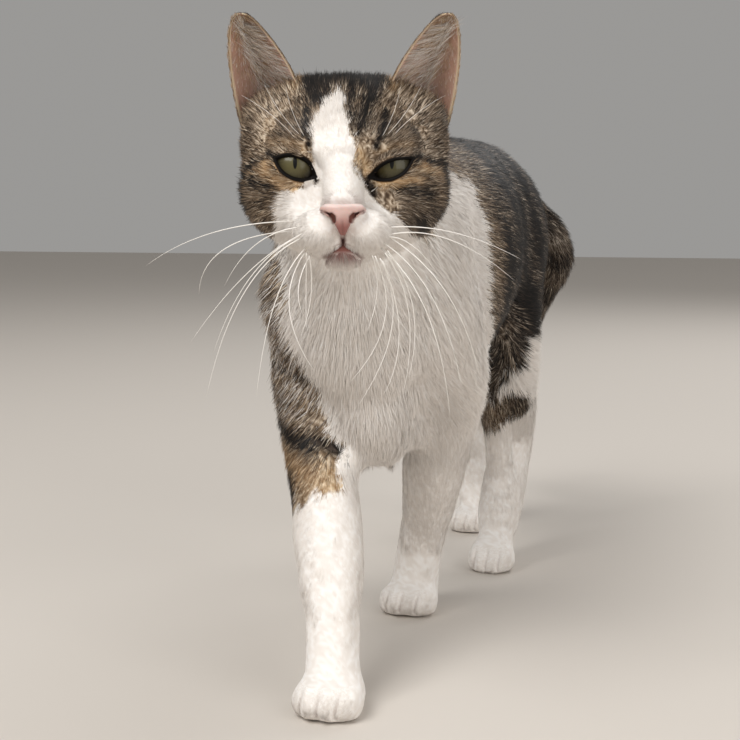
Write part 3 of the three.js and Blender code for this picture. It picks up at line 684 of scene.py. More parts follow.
def make_ear(side):
    rows = -EAR_SUNK + (1 + EAR_SUNK) * np.sin(np.linspace(0, 1, EAR_ROWS) * math.pi / 2) ** 1.15
    t, v = np.meshgrid(rows * 0.999, np.linspace(-1, 1, EAR_COLUMNS), indexing="ij")
    layers = [ear_points(t, v, np.full(t.shape, o)).reshape(-1, 3) for o in (0.0, 1.0)]
    points = np.concatenate(layers) * [side, 1, 1]
    number = np.arange(t.size).reshape(t.shape)
    a, b, c, d = number[:-1, :-1], number[:-1, 1:], number[1:, 1:], number[1:, :-1]
    sheet = np.stack([a, b, c, d], axis=-1).reshape(-1, 4)
    edge = np.concatenate([number[0], number[1:, -1], number[-1, -2::-1], number[-2:0:-1, 0]])
    following = np.roll(edge, -1)
    rim = np.stack([edge, following, following + t.size, edge + t.size], axis=-1)
    quads = np.concatenate([sheet, sheet[:, ::-1] + t.size, rim])
    name = "ear_skin_" + ("left" if side > 0 else "right")
    ear = mesh_object(name, from_head(points), quads)
    outward(ear)
    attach(ear, "root")
    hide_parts("ear_left" if side > 0 else "ear_right")
    return ear


ears = {side: make_ear(side) for side in (1, -1)}
print("ears", [len(e.data.polygons) for e in ears.values()], "faces each")

# %% [markdown]
# ## Nose
# The bare leather is a small shield with comma-shaped nostrils and a groove down the middle. Its own
# field is drawn at under half a millimetre.

# %% Nose leather
NOSE_CELL = 0.45
NOSE_WIDTH = [  # half the width at each height
    (-31, 0.1), (-29.5, 0.9), (-26, 2.7), (-23.5, 4.3), (-22, 5.6),
    (-20.6, 7.8), (-19.2, 9.6), (-18.3, 9.3), (-17.3, 8.4), (-16, 7)]
NOSE_BACK = -21.5


def nostril(ax, z):
    """A comma: a round opening with a slit that curls up under the wing."""
    slit = np.minimum(to_segment(ax, z, (3.5, -22.3), (4.6, -21.3)) - 0.9,
                      to_segment(ax, z, (4.6, -21.3), (8.4, -19.6)) - 0.4)
    return np.minimum(slit, to_segment(ax, z, (3.5, -22.2), (3.3, -23.8)) - 0.75)


def nose_field(q):
    ax, y, z = np.abs(q[..., 0]), q[..., 1], q[..., 2]
    side = 0.8 * (ax - line(z, *NOSE_WIDTH))
    front = ellipsoid(q, [0, -22, -21.5], [13, 10.4, 13])
    top = z + 17.0 - 0.012 * ax * ax
    d = carve(2.0, side, -front, -top)
    d = np.maximum(d, y - NOSE_BACK)
    d = carve(0.7, d, np.maximum(nostril(ax, z), y + 26.0 + 1.3 * (ax - 4)))
    return d + 0.8 * bump(q[..., 0], 0, 0.5) * smoothstep(-22.5, -26, z)


def on_nose(q):
    """The whole outline of the leather, with its nostrils."""
    inside = np.abs(q[..., 0]) < line(q[..., 2], *NOSE_WIDTH) + 0.35
    return inside & (q[..., 1] < -20) & (q[..., 2] < -16.9) & (q[..., 2] > -30.5)


def draw_field(name, field, low, high, cell):
    """A mesh of a small field in the head's frame."""
    lattice = [np.arange(a, b, cell) for a, b in zip(low, high)]
    q = np.stack(np.meshgrid(*lattice, indexing="ij"), axis=-1)
    grid = vdb.FloatGrid(background=5.0)
    grid.copyFromArray(field(q).astype(np.float32))
    grid.transform = vdb.createLinearTransform(voxelSize=cell)
    points, quads = grid.convertToQuads(isovalue=0)
    made = mesh_object(name, from_head(points + np.array(low)), quads)
    outward(made)
    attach(made, "root")
    return made


nose = draw_field("nose_leather", nose_field, [-12, -36, -35], [12, -20, -15], NOSE_CELL)
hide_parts("nose")
print("nose", len(nose.data.polygons), "faces")

# %% [markdown]
# ## Eyes
# Each eye is a ball with its iris and slit painted round its own axis, which points where the cat
# looks. A clear coat over it stands for the cornea and the tears, and gives the sharp highlight.

# %% Eyeballs
GAZE = np.array([0.0, -1.0, 0.17])
IRIS_RADIUS = 8.9


def paint(mesh, name, values):
    mesh.attributes.new(name, "FLOAT", "POINT").data.foreach_set("value", np.asarray(values, np.float32))


def make_eye(side):
    centre = EYE_AT * [side, 1, 1]
    bpy.ops.object.select_all(action="DESELECT")
    bpy.ops.mesh.primitive_uv_sphere_add(segments=96, ring_count=64, radius=EYE_RADIUS * MM)
    eye = bpy.context.object
    eye.name = "eyeball_" + ("left" if side > 0 else "right")
    ball = points_of(eye)
    ball = np.stack([ball[:, 0], -ball[:, 2], ball[:, 1]], axis=-1)
    axis = GAZE / np.linalg.norm(GAZE)
    swing = np.array([axis[0], 0, axis[2]])
    put_points(eye, from_head(centre + ball))
    outward(eye)
    way = ball / np.linalg.norm(ball, axis=1, keepdims=True) - swing
    front = ball[:, 1] < 0
    paint(eye.data, "iris_x", np.where(front, way[:, 0], 9) * EYE_RADIUS / IRIS_RADIUS)
    paint(eye.data, "iris_z", np.where(front, way[:, 2], 9) * EYE_RADIUS / IRIS_RADIUS)
    # The left eye is darkened by a painted shade, the shadow of its brow.
    paint(eye.data, "shaded", np.full(len(ball), 0.35 if side > 0 else 0.0))
    eye.data.polygons.foreach_set("use_smooth", np.full(len(eye.data.polygons), True))
    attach(eye, "root")
    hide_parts("eye_left" if side > 0 else "eye_right")
    return eye


eyes = {side: make_eye(side) for side in (1, -1)}
print("eyes", [len(e.data.polygons) for e in eyes.values()], "faces each")

# %% [markdown]
# ## Finishes
# Each finish starts from what the surface is and how light meets it. One helper adds any node, so a
# finish reads as a list of what feeds what.

# %% Colours and a node helper
def linear(code):
    """An sRGB hex colour as linear numbers."""
    given = [int(code[i:i + 2], 16) / 255 for i in (1, 3, 5)]
    return (*[c / 12.92 if c <= 0.04045 else ((c + 0.055) / 1.055) ** 2.4 for c in given], 1.0)


def finish(name):
    made = bpy.data.materials.new(name)
    made.use_nodes = True
    made.node_tree.nodes.clear()
    return made, made.node_tree


def node(tree, kind, *given, out=None, stops=(), **more):
    """Adds a node and hands back one output: the first in use, or the one named by out.

    given are values or outputs for its inputs in use, in order. In more, a name with a capital is
    an input, and any other is a setting of the node's own. stops are the colours of a ramp.
    """
    made = tree.nodes.new("ShaderNode" + kind)
    named = {key.replace("_", " "): value for key, value in more.items() if key[0].isupper()}
    for key, value in more.items():
        if not key[0].isupper():
            setattr(made, key, value)
    feeds = list(zip([socket for socket in made.inputs if socket.enabled], given))
    feeds += [(made.inputs[key], value) for key, value in named.items()]
    for socket, value in feeds:
        if isinstance(value, bpy.types.NodeSocket):
            tree.links.new(value, socket)
        else:
            socket.default_value = value
    if stops:
        first, last = made.color_ramp.elements
        first.position, first.color = stops[0][0], linear(stops[0][1])
        last.position, last.color = stops[-1][0], linear(stops[-1][1])
        for at, colour in stops[1:-1]:
            made.color_ramp.elements.new(at).color = linear(colour)
    in_use = [socket for socket in made.outputs if socket.enabled]
    return made.outputs[out] if out else in_use[0] if in_use else None


def surface(tree, **look):
    """Ends a finish: its shader, joined to the material's output."""
    node(tree, "OutputMaterial", node(tree, "BsdfPrincipled", **look))


# %% Floor
# Matt paint scatters light evenly, so the floor shows soft shadows and no gloss.
floor_finish, tree = finish("pale_painted_floor")
surface(tree, Base_Color=linear("#cfc8c0"), Roughness=0.8)
print("floor finish with", len(tree.nodes), "nodes")

# %% [markdown]
# ## Markings
# A tabby-and-white coat is ticked brown hair with black stripes, and white where no colour grew. The
# marks are soft shapes placed on the head's and the body's own sizes. The skin and every hair
# read the same four amounts, so nothing shows through thin places.

# %% Tools for marks
def strokes(q, table):
    """How much the strokes cover each point, looking on the face from in front."""
    total = np.zeros(len(q))
    for x0, z0, x1, z1, width, strength in table:
        near = to_segment(q[:, 0], q[:, 2], (x0, z0), (x1, z1))
        total = np.maximum(total, strength * np.exp(-((near / width) ** 2)))
    return total * smoothstep(36, 24, q[:, 1])


def wavy(p, *waves):
    """A slow irregular number from a few crossed waves; each is (x, y, z per mm, phase)."""
    return sum(np.sin(p @ np.array(w[:3]) + w[3]) for w in waves) / len(waves)


# %% [markdown]
# The face is white in the middle. The blaze starts in a point between the ears, widens beside the
# nose and takes in the muzzle and the chin. Black hair frames it on the crown, a dark line runs back
# from each eye, and warm tan lies below the eyes.

# %% The face's marks
BLAZE_RIGHT = (  # its edge at each height, as z, x
    (-34, -60), (-31, -42), (-28, -30), (-24, -26.5), (-18, -26.5), (-15, -25.7), (-12, -23.4),
    (-9, -19.5), (-6, -15.6), (-3, -11.4), (0, -12.0), (4, -12.8), (8, -13.6), (12, -13.4),
    (15, -12.7), (18, -10.6), (21, -8.5), (24, -7.3), (27, -6.0), (31, -3.4))
BLAZE_LEFT = (
    (-34, 60), (-31, 42), (-28, 31), (-24, 25), (-21, 21.8), (-18, 18.0), (-15, 14.8), (-12, 11.7),
    (-9, 9.2), (-6, 6.6), (-3, 4.8), (0, 4.2), (4, 4.6), (8, 4.2), (12, 3.2), (15, 2.0),
    (18, 1.5), (21, 0.8), (27, 0.2), (31, -1.0))
DARK_STROKES = [  # from x, z to x, z, width and strength; positive x is the left side
    (-14, 35, -11, 27, 4.4, 1.0), (-6.5, 35, -8.0, 27, 2.6, 0.9), (-11, 27, -14.6, 21, 1.5, 0.8),
    (-14.8, 23, -14.4, 9, 1.6, 1.0), (-17.5, 28, -21, 20, 1.8, 0.5), (3, 36, 3.8, 27, 2.4, 0.85),
    (11.5, 36, 10.4, 26, 3.6, 1.0), (10.4, 27, 6.4, 14, 2.4, 1.0), (17, 22, 13.8, 8, 1.8, 1.0),
    (1.8, 27, 3.9, 13, 0.9, 0.7), (4.2, 21, 5.2, 9, 1.0, 0.5),
    (-29.3, 4.2, -37.5, 0.9, 1.5, 1.0), (-37.5, 0.9, -41, -7, 2.0, 1.0), (-41, -7, -41, -18, 2.2, 0.9),
    (29.3, 3.2, 40, 1.3, 1.5, 1.0), (40, 1.3, 43, -15, 2.3, 0.95), (10.2, -6.6, 12.9, -11.2, 2.4, 1.0),
    (-37, -6, -27, -9.6, 3.0, 0.72), (-31, -14, -38, -15, 2.0, 0.5),
    (-42, -9, -43, -22, 2.6, 0.8), (21, -9.2, 33, -11.4, 2.6, 0.72), (30, -20, 36.5, -26, 2.5, 0.95),
    (-22, 15, -26, 8.5, 1.3, 0.45), (-30, 24, -24, 15, 1.6, 0.4), (24, 22, 21, 14, 1.5, 0.4),
    (33, 20, 27, 12, 1.8, 0.4), (36, -16, 42, -20, 2.0, 0.6)]
TEAR_STROKES = [
    (-13.5, -2.8, -11.6, -5.6, 1.5, 1.0), (-12, -5, -12, -7.4, 0.8, 0.8),
    (13, -3.8, 10.6, -4.6, 1.3, 1.0), (10.6, -4.5, 10.8, -8, 1.1, 0.9)]
WARM_STROKES = [
    (-31, 1.6, -29.5, -3.5, 2.2, 1.0), (-28.5, -5.2, -20, -9.2, 2.6, 1.0), (5.8, 5, 9.2, -1.5, 2.4, 0.9),
    (15.4, -6.6, 27, -6.4, 2.4, 1.0), (30, -0.6, 37, -2.6, 2.2, 0.6), (-34, -2.6, -38, -6, 2.0, 0.5),
    (-19.5, 34, -18.5, 38, 1.8, 0.9), (19.2, 33, 18.6, 38, 1.8, 0.9),
    (-29, 9, -17, 7.4, 1.6, 0.4), (13, 6.5, 26, 8, 1.5, 0.3)]


def face_marks(q, wobble):
    """White, dark, warm and pale on the head."""
    ax, y, z = np.abs(q[:, 0]), q[:, 1], q[:, 2]
    inside = np.minimum(q[:, 0] - line(z, *BLAZE_RIGHT), line(z, *BLAZE_LEFT) - q[:, 0])
    white = smoothstep(-1.2, 1.2, inside + 1.1 * wobble) * smoothstep(30, 22, y) * smoothstep(33, 30, z)
    jaw = z - 0.06 * np.maximum(ax - 30, 0) + 1.2 * wobble
    white = np.maximum(white, smoothstep(-25.5, -28.5, jaw))
    crown = smoothstep(21, 12, ax + 3 * wobble) * smoothstep(29, 33.5, z + 2 * wobble) * smoothstep(72, 55, y)
    nape = wavy(q, (0.35, 0.1, 0.05, 0), (0.2, -0.1, 0.22, 1))
    nape = 0.75 * smoothstep(24, 40, y) * smoothstep(-0.1, 0.35, nape) * smoothstep(-8, 10, z)
    rim = smoothstep(0.85, 0.3, lid_gap(q)) * (y < 16)
    # Fewer white hairs at the stop, where the brow dips: a painted shade.
    white = white * (1 - 0.25 * bump(z, 6.5, 3.5) * bump(q[:, 0], -6, 6))
    corner = strokes(q, TEAR_STROKES)
    dark = np.maximum.reduce([strokes(q, DARK_STROKES), 0.95 * crown, nape, rim, corner])
    white = white * (1 - rim) * (1 - corner)
    warm = strokes(q, WARM_STROKES) * (1 - dark)
    light = 0.3 * bump(q[:, 0], 24, 6) * bump(z, 29, 6) + 0.25 * smoothstep(0, -20, q[:, 0])
    pale = 0.5 + 0.25 * wobble + light
    return np.stack([white, dark, warm, pale], axis=1)


# %% [markdown]
# On the body the left shoulder and both left legs are white, the right shoulder is ticked down to
# the forearm, and the flanks and back are nearly black with browner stripes. The far side, the rump
# and the tail follow the same pattern, as such coats do.

# %% The body's marks
SHOULDER = (  # the right shoulder's white edge, as z, x
    (60, -12), (87, -12), (96, -7), (107, -8), (118, -14), (138, -21), (152, -22), (165, -26),
    (184, -32), (199, -33), (225, -36), (245, -30))
FLANK_FRONT = (  # the left flank's front edge, as z, y
    (110, -10), (140, -22), (150, -36), (164, -70), (174, -89), (189, -97), (243, -97), (258, -128))
FLANK_FOOT = (  # its lower edge, as y, z
    (-140, 128), (-60, 121), (0, 121), (12, 140), (60, 146), (100, 156), (140, 166), (175, 160))
THIGH_SLOPE = ((18, -28), (30, -14), (40, 2), (47, 16))  # how that edge climbs the thigh, as x, z
CHESTLINE = (  # the lower edge of colour on the right, as y, z
    (-240, 88), (-150, 90), (-120, 112), (-60, 120), (20, 116), (60, 128), (100, 148), (175, 150))
STRIPE_EVERY, RING_EVERY = 37, 27


def body_marks(p, wobble):
    """White, dark, warm and pale on neck, trunk, legs and tail."""
    x, y, z = p.T
    ragged = 4 * wobble
    foot = line(y, *FLANK_FOOT) + smoothstep(-10, 12, y) * line(x, *THIGH_SLOPE)
    left = np.minimum(y - line(z, *FLANK_FRONT), z - foot + 0.7 * ragged) + ragged
    chest = z - line(y, *CHESTLINE)
    right = np.minimum(line(z, *SHOULDER) - x, chest - 0.3 * (x + 20) + 0.5 * ragged) + ragged
    right = np.where(y > -150, np.minimum(30, chest) + ragged, right)
    right = np.minimum(right, np.maximum(z - 125, 0) - 8 - x + ragged)
    coloured = np.where(x > 0, smoothstep(-3.5, 3.5, left), smoothstep(-2.5, 2.5, right))
    patch = smoothstep(2, -2, to_segment(x, z, (2, 93), (32, 108)) - 9 + 0.5 * ragged)
    patch = patch * (y > 0) * (y < 52)
    coloured = np.maximum.reduce([coloured, patch, smoothstep(238, 246, z + ragged)])
    stripe = np.sin((y + 0.35 * (z - 190) + 9 * wobble + 30) * 2 * math.pi / STRIPE_EVERY)
    flank = (0.5 + 0.5 * smoothstep(-0.5, 0.2, stripe)) * smoothstep(-100, -50, y)
    spine = smoothstep(16, 7, np.abs(x) + 3 * wobble) * smoothstep(222, 240, z)
    front = smoothstep(-150, -168, y) * smoothstep(0, -6, x)
    sag = z + 0.39 * (x + 22)
    cuff = bump(sag, 114, 4.5) + 0.5 * bump(sag, 148, 4) + 1.2 * bump(z, 92, 10) * smoothstep(-27, -32, x)
    tan = 0.95 * bump(sag, 101, 9.5) * front * (1 - np.clip(cuff, 0, 1))
    flank = flank * (1 - patch) + patch * (0.05 + 0.5 * smoothstep(20, 32, x + ragged + 0.3 * (z - 105)))
    dark = np.clip(np.maximum.reduce([flank, 0.9 * spine, cuff * front]), 0, 1)
    streaks = 0.25 * smoothstep(-115, -150, y) * smoothstep(112, 135, z) * smoothstep(232, 215, z)
    white = np.maximum(1 - coloured, streaks)
    pale = 0.18 + 0.5 * smoothstep(-45, -75, y) + 0.15 * wobble + 0.35 * patch
    tail = tail_share(p)
    rings = 0.15 + 0.45 * smoothstep(-0.3, 0.3, np.sin((y * 0.55 - z * 0.83) * 2 * math.pi / RING_EVERY))
    tip = smoothstep(82, 66, z) * (y > 180)
    dark = dark * (1 - tail) + np.maximum(rings, tip) * tail
    return np.stack([white * (1 - tail), dark, 0.6 * tan, pale], axis=1)


def markings(p):
    """White, dark, warm tan and pale ticking, each 0 to 1, at points of the skin."""
    q = to_head(p)
    wobble = wavy(p, (0.21, 0.13, 0.17, 0), (-0.11, 0.23, 0.19, 2), (0.37, -0.31, 0.29, 4))
    wobble = wobble + 0.5 * wavy(p, (0.83, 0.55, -0.61, 1), (-0.72, 0.91, 0.68, 3))
    head = head_share(q)[:, None]
    return np.clip(face_marks(q, wobble) * head + body_marks(p, wobble) * (1 - head), 0, 1)


# %% Paint the marks on the skin
def paint_marks(obj, marks):
    layer = obj.data.attributes.new("marks", "FLOAT_COLOR", "POINT")
    layer.data.foreach_set("color", np.ascontiguousarray(marks, np.float32).ravel())


def skin_tint_and_shade(p):
    """How far pink and brown skin shows through thin hair, above the nose and on the lips, and where
    painted shade lies: in the nostrils, low on the chin and in the furrows between the toes.
    """
    q = to_head(p)
    ax, z = np.abs(q[:, 0]), q[:, 2]
    nose_top = 0.5 * bump(ax, 0, 7.5) * bump(z, -16.4, 2.2)
    line_of_lips = 0.95 * bump(to_mouth(q, MOUTH[:3]), 0, 1.2) * smoothstep(11, 6, ax)
    under = line(ax, *(part[2:] for part in MOUTH)) - z
    lip_and_chin_shade = smoothstep(-0.4, 0.4, under) * smoothstep(-39.5, -35, z) * smoothstep(9.5, 3.5, ax)
    # A faint painted shade low on the chin, under the lower lip.
    lip_and_chin_shade = lip_and_chin_shade + 0.14 * bump(ax, 0, 12) * bump(z, -41, 5)
    # Painted shade down in the nostrils, on the skin seen through them.
    nostrils = smoothstep(0.6, 0.1, nostril(ax, z))
    # Painted shade in the furrows between the toes.
    near, share = toe_gap(p)
    toes = 0.25 * share * bump(near, 0, 0.6)
    face = np.maximum.reduce([nose_top, line_of_lips, lip_and_chin_shade, nostrils]) * smoothstep(0, -8, q[:, 1])
    return np.maximum(face, toes)


skin_points = points_of(skin)
skin_marks = markings(skin_points)
paint_marks(skin, skin_marks)
paint(skin.data, "along", np.full(len(skin_marks), 0.45))
q = to_head(skin_points)
bare_rim = (lid_gap(q) < 1.2) & (q[:, 1] < 16)
paint(skin.data, "hair", np.where(bare_rim, 0, rng.random(len(skin_marks))))
paint(skin.data, "skin_tint_and_shade", skin_tint_and_shade(skin_points))
print("white over", round(float(skin_marks[:, 0].mean()) * 100), "% of the skin's points")

# %% [markdown]
# ## The coat's finish
# A ticked hair is banded: grey at the root, tan in the middle and black at the tip, and each hair
# shows its bands at another height, so a tabby's ground looks sprinkled. Hairs in a stripe are dark
# all along, and white ones have no bands. Where two colours meet, whole hairs of both are mixed.

# %% Hair colour
def by_hair(tree, share, hair, shuffle, sharp):
    """Turns a soft share into whole hairs: shuffle picks another order of the hairs."""
    order = node(tree, "Math", node(tree, "Math", hair, shuffle, operation="MULTIPLY"), operation="FRACT")
    over = node(tree, "Math", node(tree, "Math", share, 1.3, operation="MULTIPLY"), order,
                operation="SUBTRACT")
    over = node(tree, "Math", over, 0.15 - 0.5 / sharp, operation="SUBTRACT")
    return node(tree, "Math", over, sharp, operation="MULTIPLY", use_clamp=True)


def hair_colour(tree):
    along, hair, pink = (node(tree, "Attribute", attribute_name=name, out="Fac")
                         for name in ("along", "hair", "skin_tint_and_shade"))
    marks = node(tree, "Attribute", attribute_name="marks", out="Color")
    white, dark, warm = node(tree, "SeparateColor", marks).node.outputs
    white = by_hair(tree, white, hair, 7.3, 6.0)
    dark = by_hair(tree, dark, hair, 13.7, 2.5)
    band = node(tree, "ValToRGB", along, stops=(
        (0.0, "#6a6a6a"), (0.45, "#ffffff"), (0.75, "#aaaaaa"), (1.0, "#202020")))
    value = node(tree, "Math", node(tree, "Math", hair, 0.62, operation="MULTIPLY"),
                 node(tree, "Math", band, 0.38, operation="MULTIPLY"), operation="ADD")
    grey, light, tan, black, snow = (node(tree, "ValToRGB", value, stops=stops) for stops in (
        ((0.25, "#120c08"), (0.48, "#3a3028"), (0.7, "#75695d"), (0.95, "#bcb0a2")),
        ((0.25, "#1c120a"), (0.46, "#5e4936"), (0.68, "#a48d73"), (0.95, "#e4d3bb")),
        ((0.2, "#7a5838"), (0.5, "#c49d70"), (0.95, "#f2dcb9")),
        ((0.1, "#050302"), (0.7, "#120d0a"), (0.98, "#41362f")),
        ((0.1, "#e0d8d0"), (0.6, "#ece6e0"), (0.98, "#f6f3f0"))))
    colour = grey
    # The last mix is bare skin's pink and brown, and also painted shade in the nostrils, low on the chin and
    # between the toes.
    for share, over in ((marks.node.outputs["Alpha"], light), (warm, tan), (dark, black), (white, snow),
                        (pink, linear("#7d5048"))):
        colour = node(tree, "Mix", share, colour, over, data_type="RGBA")
    return colour


# Dry horn: each hair has a weak broad sheen. The skin between hairs is duller still.
fur, tree = finish("cat_hair_short_banded")
surface(tree, Base_Color=hair_colour(tree), Roughness=0.6, Specular_IOR_Level=0.3)
skin_finish, tree = finish("cat_skin_under_coat")
surface(tree, Base_Color=hair_colour(tree), Roughness=0.7, Specular_IOR_Level=0.15)
skin.data.materials.append(skin_finish)
print("coat finish with", len(fur.node_tree.nodes), "nodes")

# %% [markdown]
# ## The lie of the coat
# Hair grows back from the nose over the brow, down the throat and breast, outward over the shoulders,
# back along the trunk, down the legs and out along the tail. A guide is set from those rules at each
# point of the skin, laid into the surface, and evened out from point to point, so it never jumps.

# %% Guides
def tail_line():
    """The tail's middle in short lengths, from the skin's own points."""
    p = points_of(skin)
    p = p[tail_share(p) > 0.9]
    order = 0.6 * p[:, 1] - 0.8 * p[:, 2]
    edges = np.linspace(order.min(), order.max(), 14)
    return np.array([p[(order >= a) & (order < b)].mean(0) for a, b in zip(edges, edges[1:])])


def unit(v):
    """Vectors at length 1."""
    return v / np.maximum(np.linalg.norm(v, axis=-1, keepdims=True), 1e-9)


def eased(low, high, value):
    """A smoothstep for each point, shaped to weigh vectors."""
    return smoothstep(low, high, value)[:, None]


def guides(p, normals):
    """Which way the hair lies at each point."""
    x, y, z = p.T
    q = to_head(p)
    outer = np.clip((x - 4) / 32, -1, 1)
    down = unit(np.stack([0.75 * outer, np.full(len(p), 0.3), np.full(len(p), -1.0)], axis=1))
    leg = unit(np.stack([0.15 * np.sign(x), np.full(len(p), 0.1), np.full(len(p), -1.0)], axis=1))
    front = eased(-105, -160, y) * eased(238, 205, z)
    low = eased(128, 92, z)
    foot = eased(22, 12, z)
    way = unit(np.array([0, 1.0, -0.3])) * (1 - front) + down * front
    way = way * (1 - low) + leg * low
    way = way * (1 - foot) + unit(np.array([0, -1.0, -0.45])) * foot
    spine = tail_line()
    steps = unit(np.gradient(spine, axis=0))
    nearest = np.argmin(((p[:, None] - spine[None]) ** 2).sum(-1), axis=1)
    tail = tail_share(p)[:, None]
    way = way * (1 - tail) + steps[nearest] * tail
    from_nose = unit(q - np.array([0, -34, -17])) + np.array([0, 0.35, 0])
    from_nose[:, 2] -= 0.5 * smoothstep(-8, -26, q[:, 2])
    head = eased(70, 44, q[:, 1]) * eased(-56, -42, q[:, 2])
    way = way * (1 - head) + (unit(from_nose) @ HEAD.T) * head
    return unit(way - normals * (way * normals).sum(-1, keepdims=True))


def vertex_normals(obj):
    normals = np.empty(len(obj.data.vertices) * 3)
    obj.data.vertices.foreach_get("normal", normals)
    return normals.reshape(-1, 3)


def evened(obj, values, rounds):
    """Averages a vector at each vertex with its neighbours'."""
    ends = np.empty(len(obj.data.edges) * 2, np.int32)
    obj.data.edges.foreach_get("vertices", ends)
    a, b = ends.reshape(-1, 2).T
    size = len(values)
    count = np.bincount(np.concatenate([a, b]), minlength=size)[:, None] + 1.0
    for _ in range(rounds):
        total = values.copy()
        for k in range(3):
            total[:, k] += np.bincount(a, values[b, k], size) + np.bincount(b, values[a, k], size)
        values = total / count
    return values


skin_normals = unit(evened(skin, vertex_normals(skin), 2))
lie = unit(evened(skin, guides(points_of(skin), skin_normals), 8))
print("guides on", len(lie), "points")

# %% [markdown]
# ## Tufts
# A tuft is a blade of three triangles: wide at the root, narrower at the bend, and a point. It leaves
# the skin at a slant and bends to lie along it. Blades that lean together in small clumps look like
# fur, and blades that all lean alike look like grass, so a slow wander turns them.

# %% Roots for the tufts
def triangles_of(obj):
    mesh = obj.data
    mesh.calc_loop_triangles()
    tri = np.empty(len(mesh.loop_triangles) * 3, np.int32)
    mesh.loop_triangles.foreach_get("vertices", tri)
    return tri.reshape(-1, 3)


skin_tris = triangles_of(skin)
corners = skin_points[skin_tris]
edges = corners[:, 1] - corners[:, 0], corners[:, 2] - corners[:, 0]
skin_areas = np.linalg.norm(np.cross(*edges), axis=1) / 2
skin_middles = corners.mean(1)
print("skin area", round(float(skin_areas.sum()) / 100), "cm2")


def depth_at(p):
    """Coat depth anywhere, the head's where the head is."""
    q = to_head(p)
    head = head_share(q)
    shortest = 0.3 + 0.7 * smoothstep(22, 45, p[:, 2])
    return np.maximum(coat_depth(p) * (1 - head) + face_depth(q) * head, shortest)


def scattered(tris, density, where):
    """Roots spread over triangles at so many a square millimetre."""
    owner = np.repeat(tris, rng.poisson(skin_areas[tris] * density))
    u, v = rng.random((2, len(owner)))
    flip = u + v > 1
    u, v = np.where(flip, 1 - u, u), np.where(flip, 1 - v, v)
    weights = np.stack([1 - u - v, u, v], axis=1)[..., None]
    roots, normals, ways = (
        (a[skin_tris[owner]] * weights).sum(1) for a in (skin_points, skin_normals, lie))
    kept = where(roots)
    return roots[kept], unit(normals[kept]), unit(ways[kept])


# %% [markdown]
# Thousands of blades are made at once as arrays. Each has five points: two at its root, two at its
# bend and one at its tip. Their shading leans on the skin's own direction, so the coat looks soft.
# Each blade also has its small place in a map, OFBake, where an exported model keeps its colours.

# %% Blades
FLOOR_CLEAR = 0.25
ROOT_SUNK = 0.35
BELOW_BEND, ABOVE_BEND = 0.48, 0.52  # shares of a blade's length
BLADE_POINTS = 5
BLADE_ON_MAP = np.array([[-1, -1], [1, -1], [0.6, 0], [-0.6, 0], [0, 1]]) * 0.0015


def each(values):
    """A blade's value, given to all its points."""
    return np.repeat(values, BLADE_POINTS, axis=0)


def blades(name, roots, normals, ways, length, width, lift, unwrap, marks=None, wander=0.22):
    """One joined mesh of tufts. length, width in millimetres, lift in radians above the skin."""
    n = len(roots)
    swirl = wavy(roots, (0.9, 0.5, 0.7, 0), (-0.6, 1.1, 0.4, 1), (0.5, -0.7, 1.3, 2), (1.7, 1.3, -1.1, 3))
    across = unit(np.cross(ways, normals))
    turn = wander * swirl + rng.normal(0, 0.5 * wander, n)
    ways = unit(ways * np.cos(turn)[:, None] + across * np.sin(turn)[:, None])
    across = unit(np.cross(ways, normals))
    length = length * rng.uniform(0.75, 1.2, n)
    lift = lift * (1 + 0.35 * swirl + rng.normal(0, 0.2, n))
    first = ways * np.cos(1.25 * lift)[:, None] + normals * np.sin(1.25 * lift)[:, None]
    last = ways * np.cos(0.65 * lift)[:, None] + normals * np.sin(0.65 * lift)[:, None]
    twist = rng.normal(0, 0.35, n)[:, None]
    half = (width * rng.uniform(0.75, 1.2, n))[:, None] / 2
    side = (across * np.cos(twist) + normals * np.sin(twist)) * half
    base = roots - normals * ROOT_SUNK
    bend = base + first * (BELOW_BEND * length)[:, None]
    tip = bend + last * (ABOVE_BEND * length)[:, None]
    points = np.stack([base - side, base + side, bend + 0.65 * side, bend - 0.65 * side, tip], axis=1)
    points[..., 2] = np.maximum(points[..., 2], FLOOR_CLEAR)
    start = BLADE_POINTS * np.arange(n)[:, None]
    faces = np.concatenate([start + [0, 1, 2], start + [0, 2, 3], start + [3, 2, 4]], axis=1).reshape(-1, 3)
    made = mesh_object(name, points.reshape(-1, 3), faces)
    paint_marks(made, each(markings(roots) if marks is None else marks))
    paint(made.data, "along", np.tile([0, 0, 0.5, 0.5, 1.0], n))
    paint(made.data, "hair", each(rng.random(n)))
    paint(made.data, "skin_tint_and_shade", each(0.9 * skin_tint_and_shade(roots)))
    soft = unit(0.93 * normals + 0.07 * unit(np.cross(side, last)))
    made.data.normals_split_custom_set_from_vertices(each(soft).astype(np.float32))
    layer = made.data.uv_layers.new(name="OFBake")
    spot = each(unwrap(roots)) + np.tile(BLADE_ON_MAP, (n, 1))
    layer.data.foreach_set("uv", spot[faces.ravel()].astype(np.float32).ravel())
    made.data.materials.append(fur)
    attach(made, "root")
    return made


def round_axis(axis, centre):
    """An unwrap of a limb-like form: the angle round an axis, against the place along it."""
    axis = unit(np.array(axis, float))
    first = unit(np.cross(axis, [0.3, 1.0, 0.2]))
    second = np.cross(axis, first)

    def unwrap(p):
        away = p - np.asarray(centre)
        angle = np.arctan2(away @ second, away @ first) / (2 * math.pi) + 0.5
        along = away @ axis
        along = (along - along.min()) / max(np.ptp(along), 1e-6)
        return np.stack([0.01 + 0.98 * angle, 0.01 + 0.98 * along], axis=1)
    return unwrap


# %% [markdown]
# ## Where each piece of the coat grows
# The coat is parted into pieces as a groomer would name them, each light enough to export whole.
# Parting lines don't show, because neighbouring tufts overlap across them.

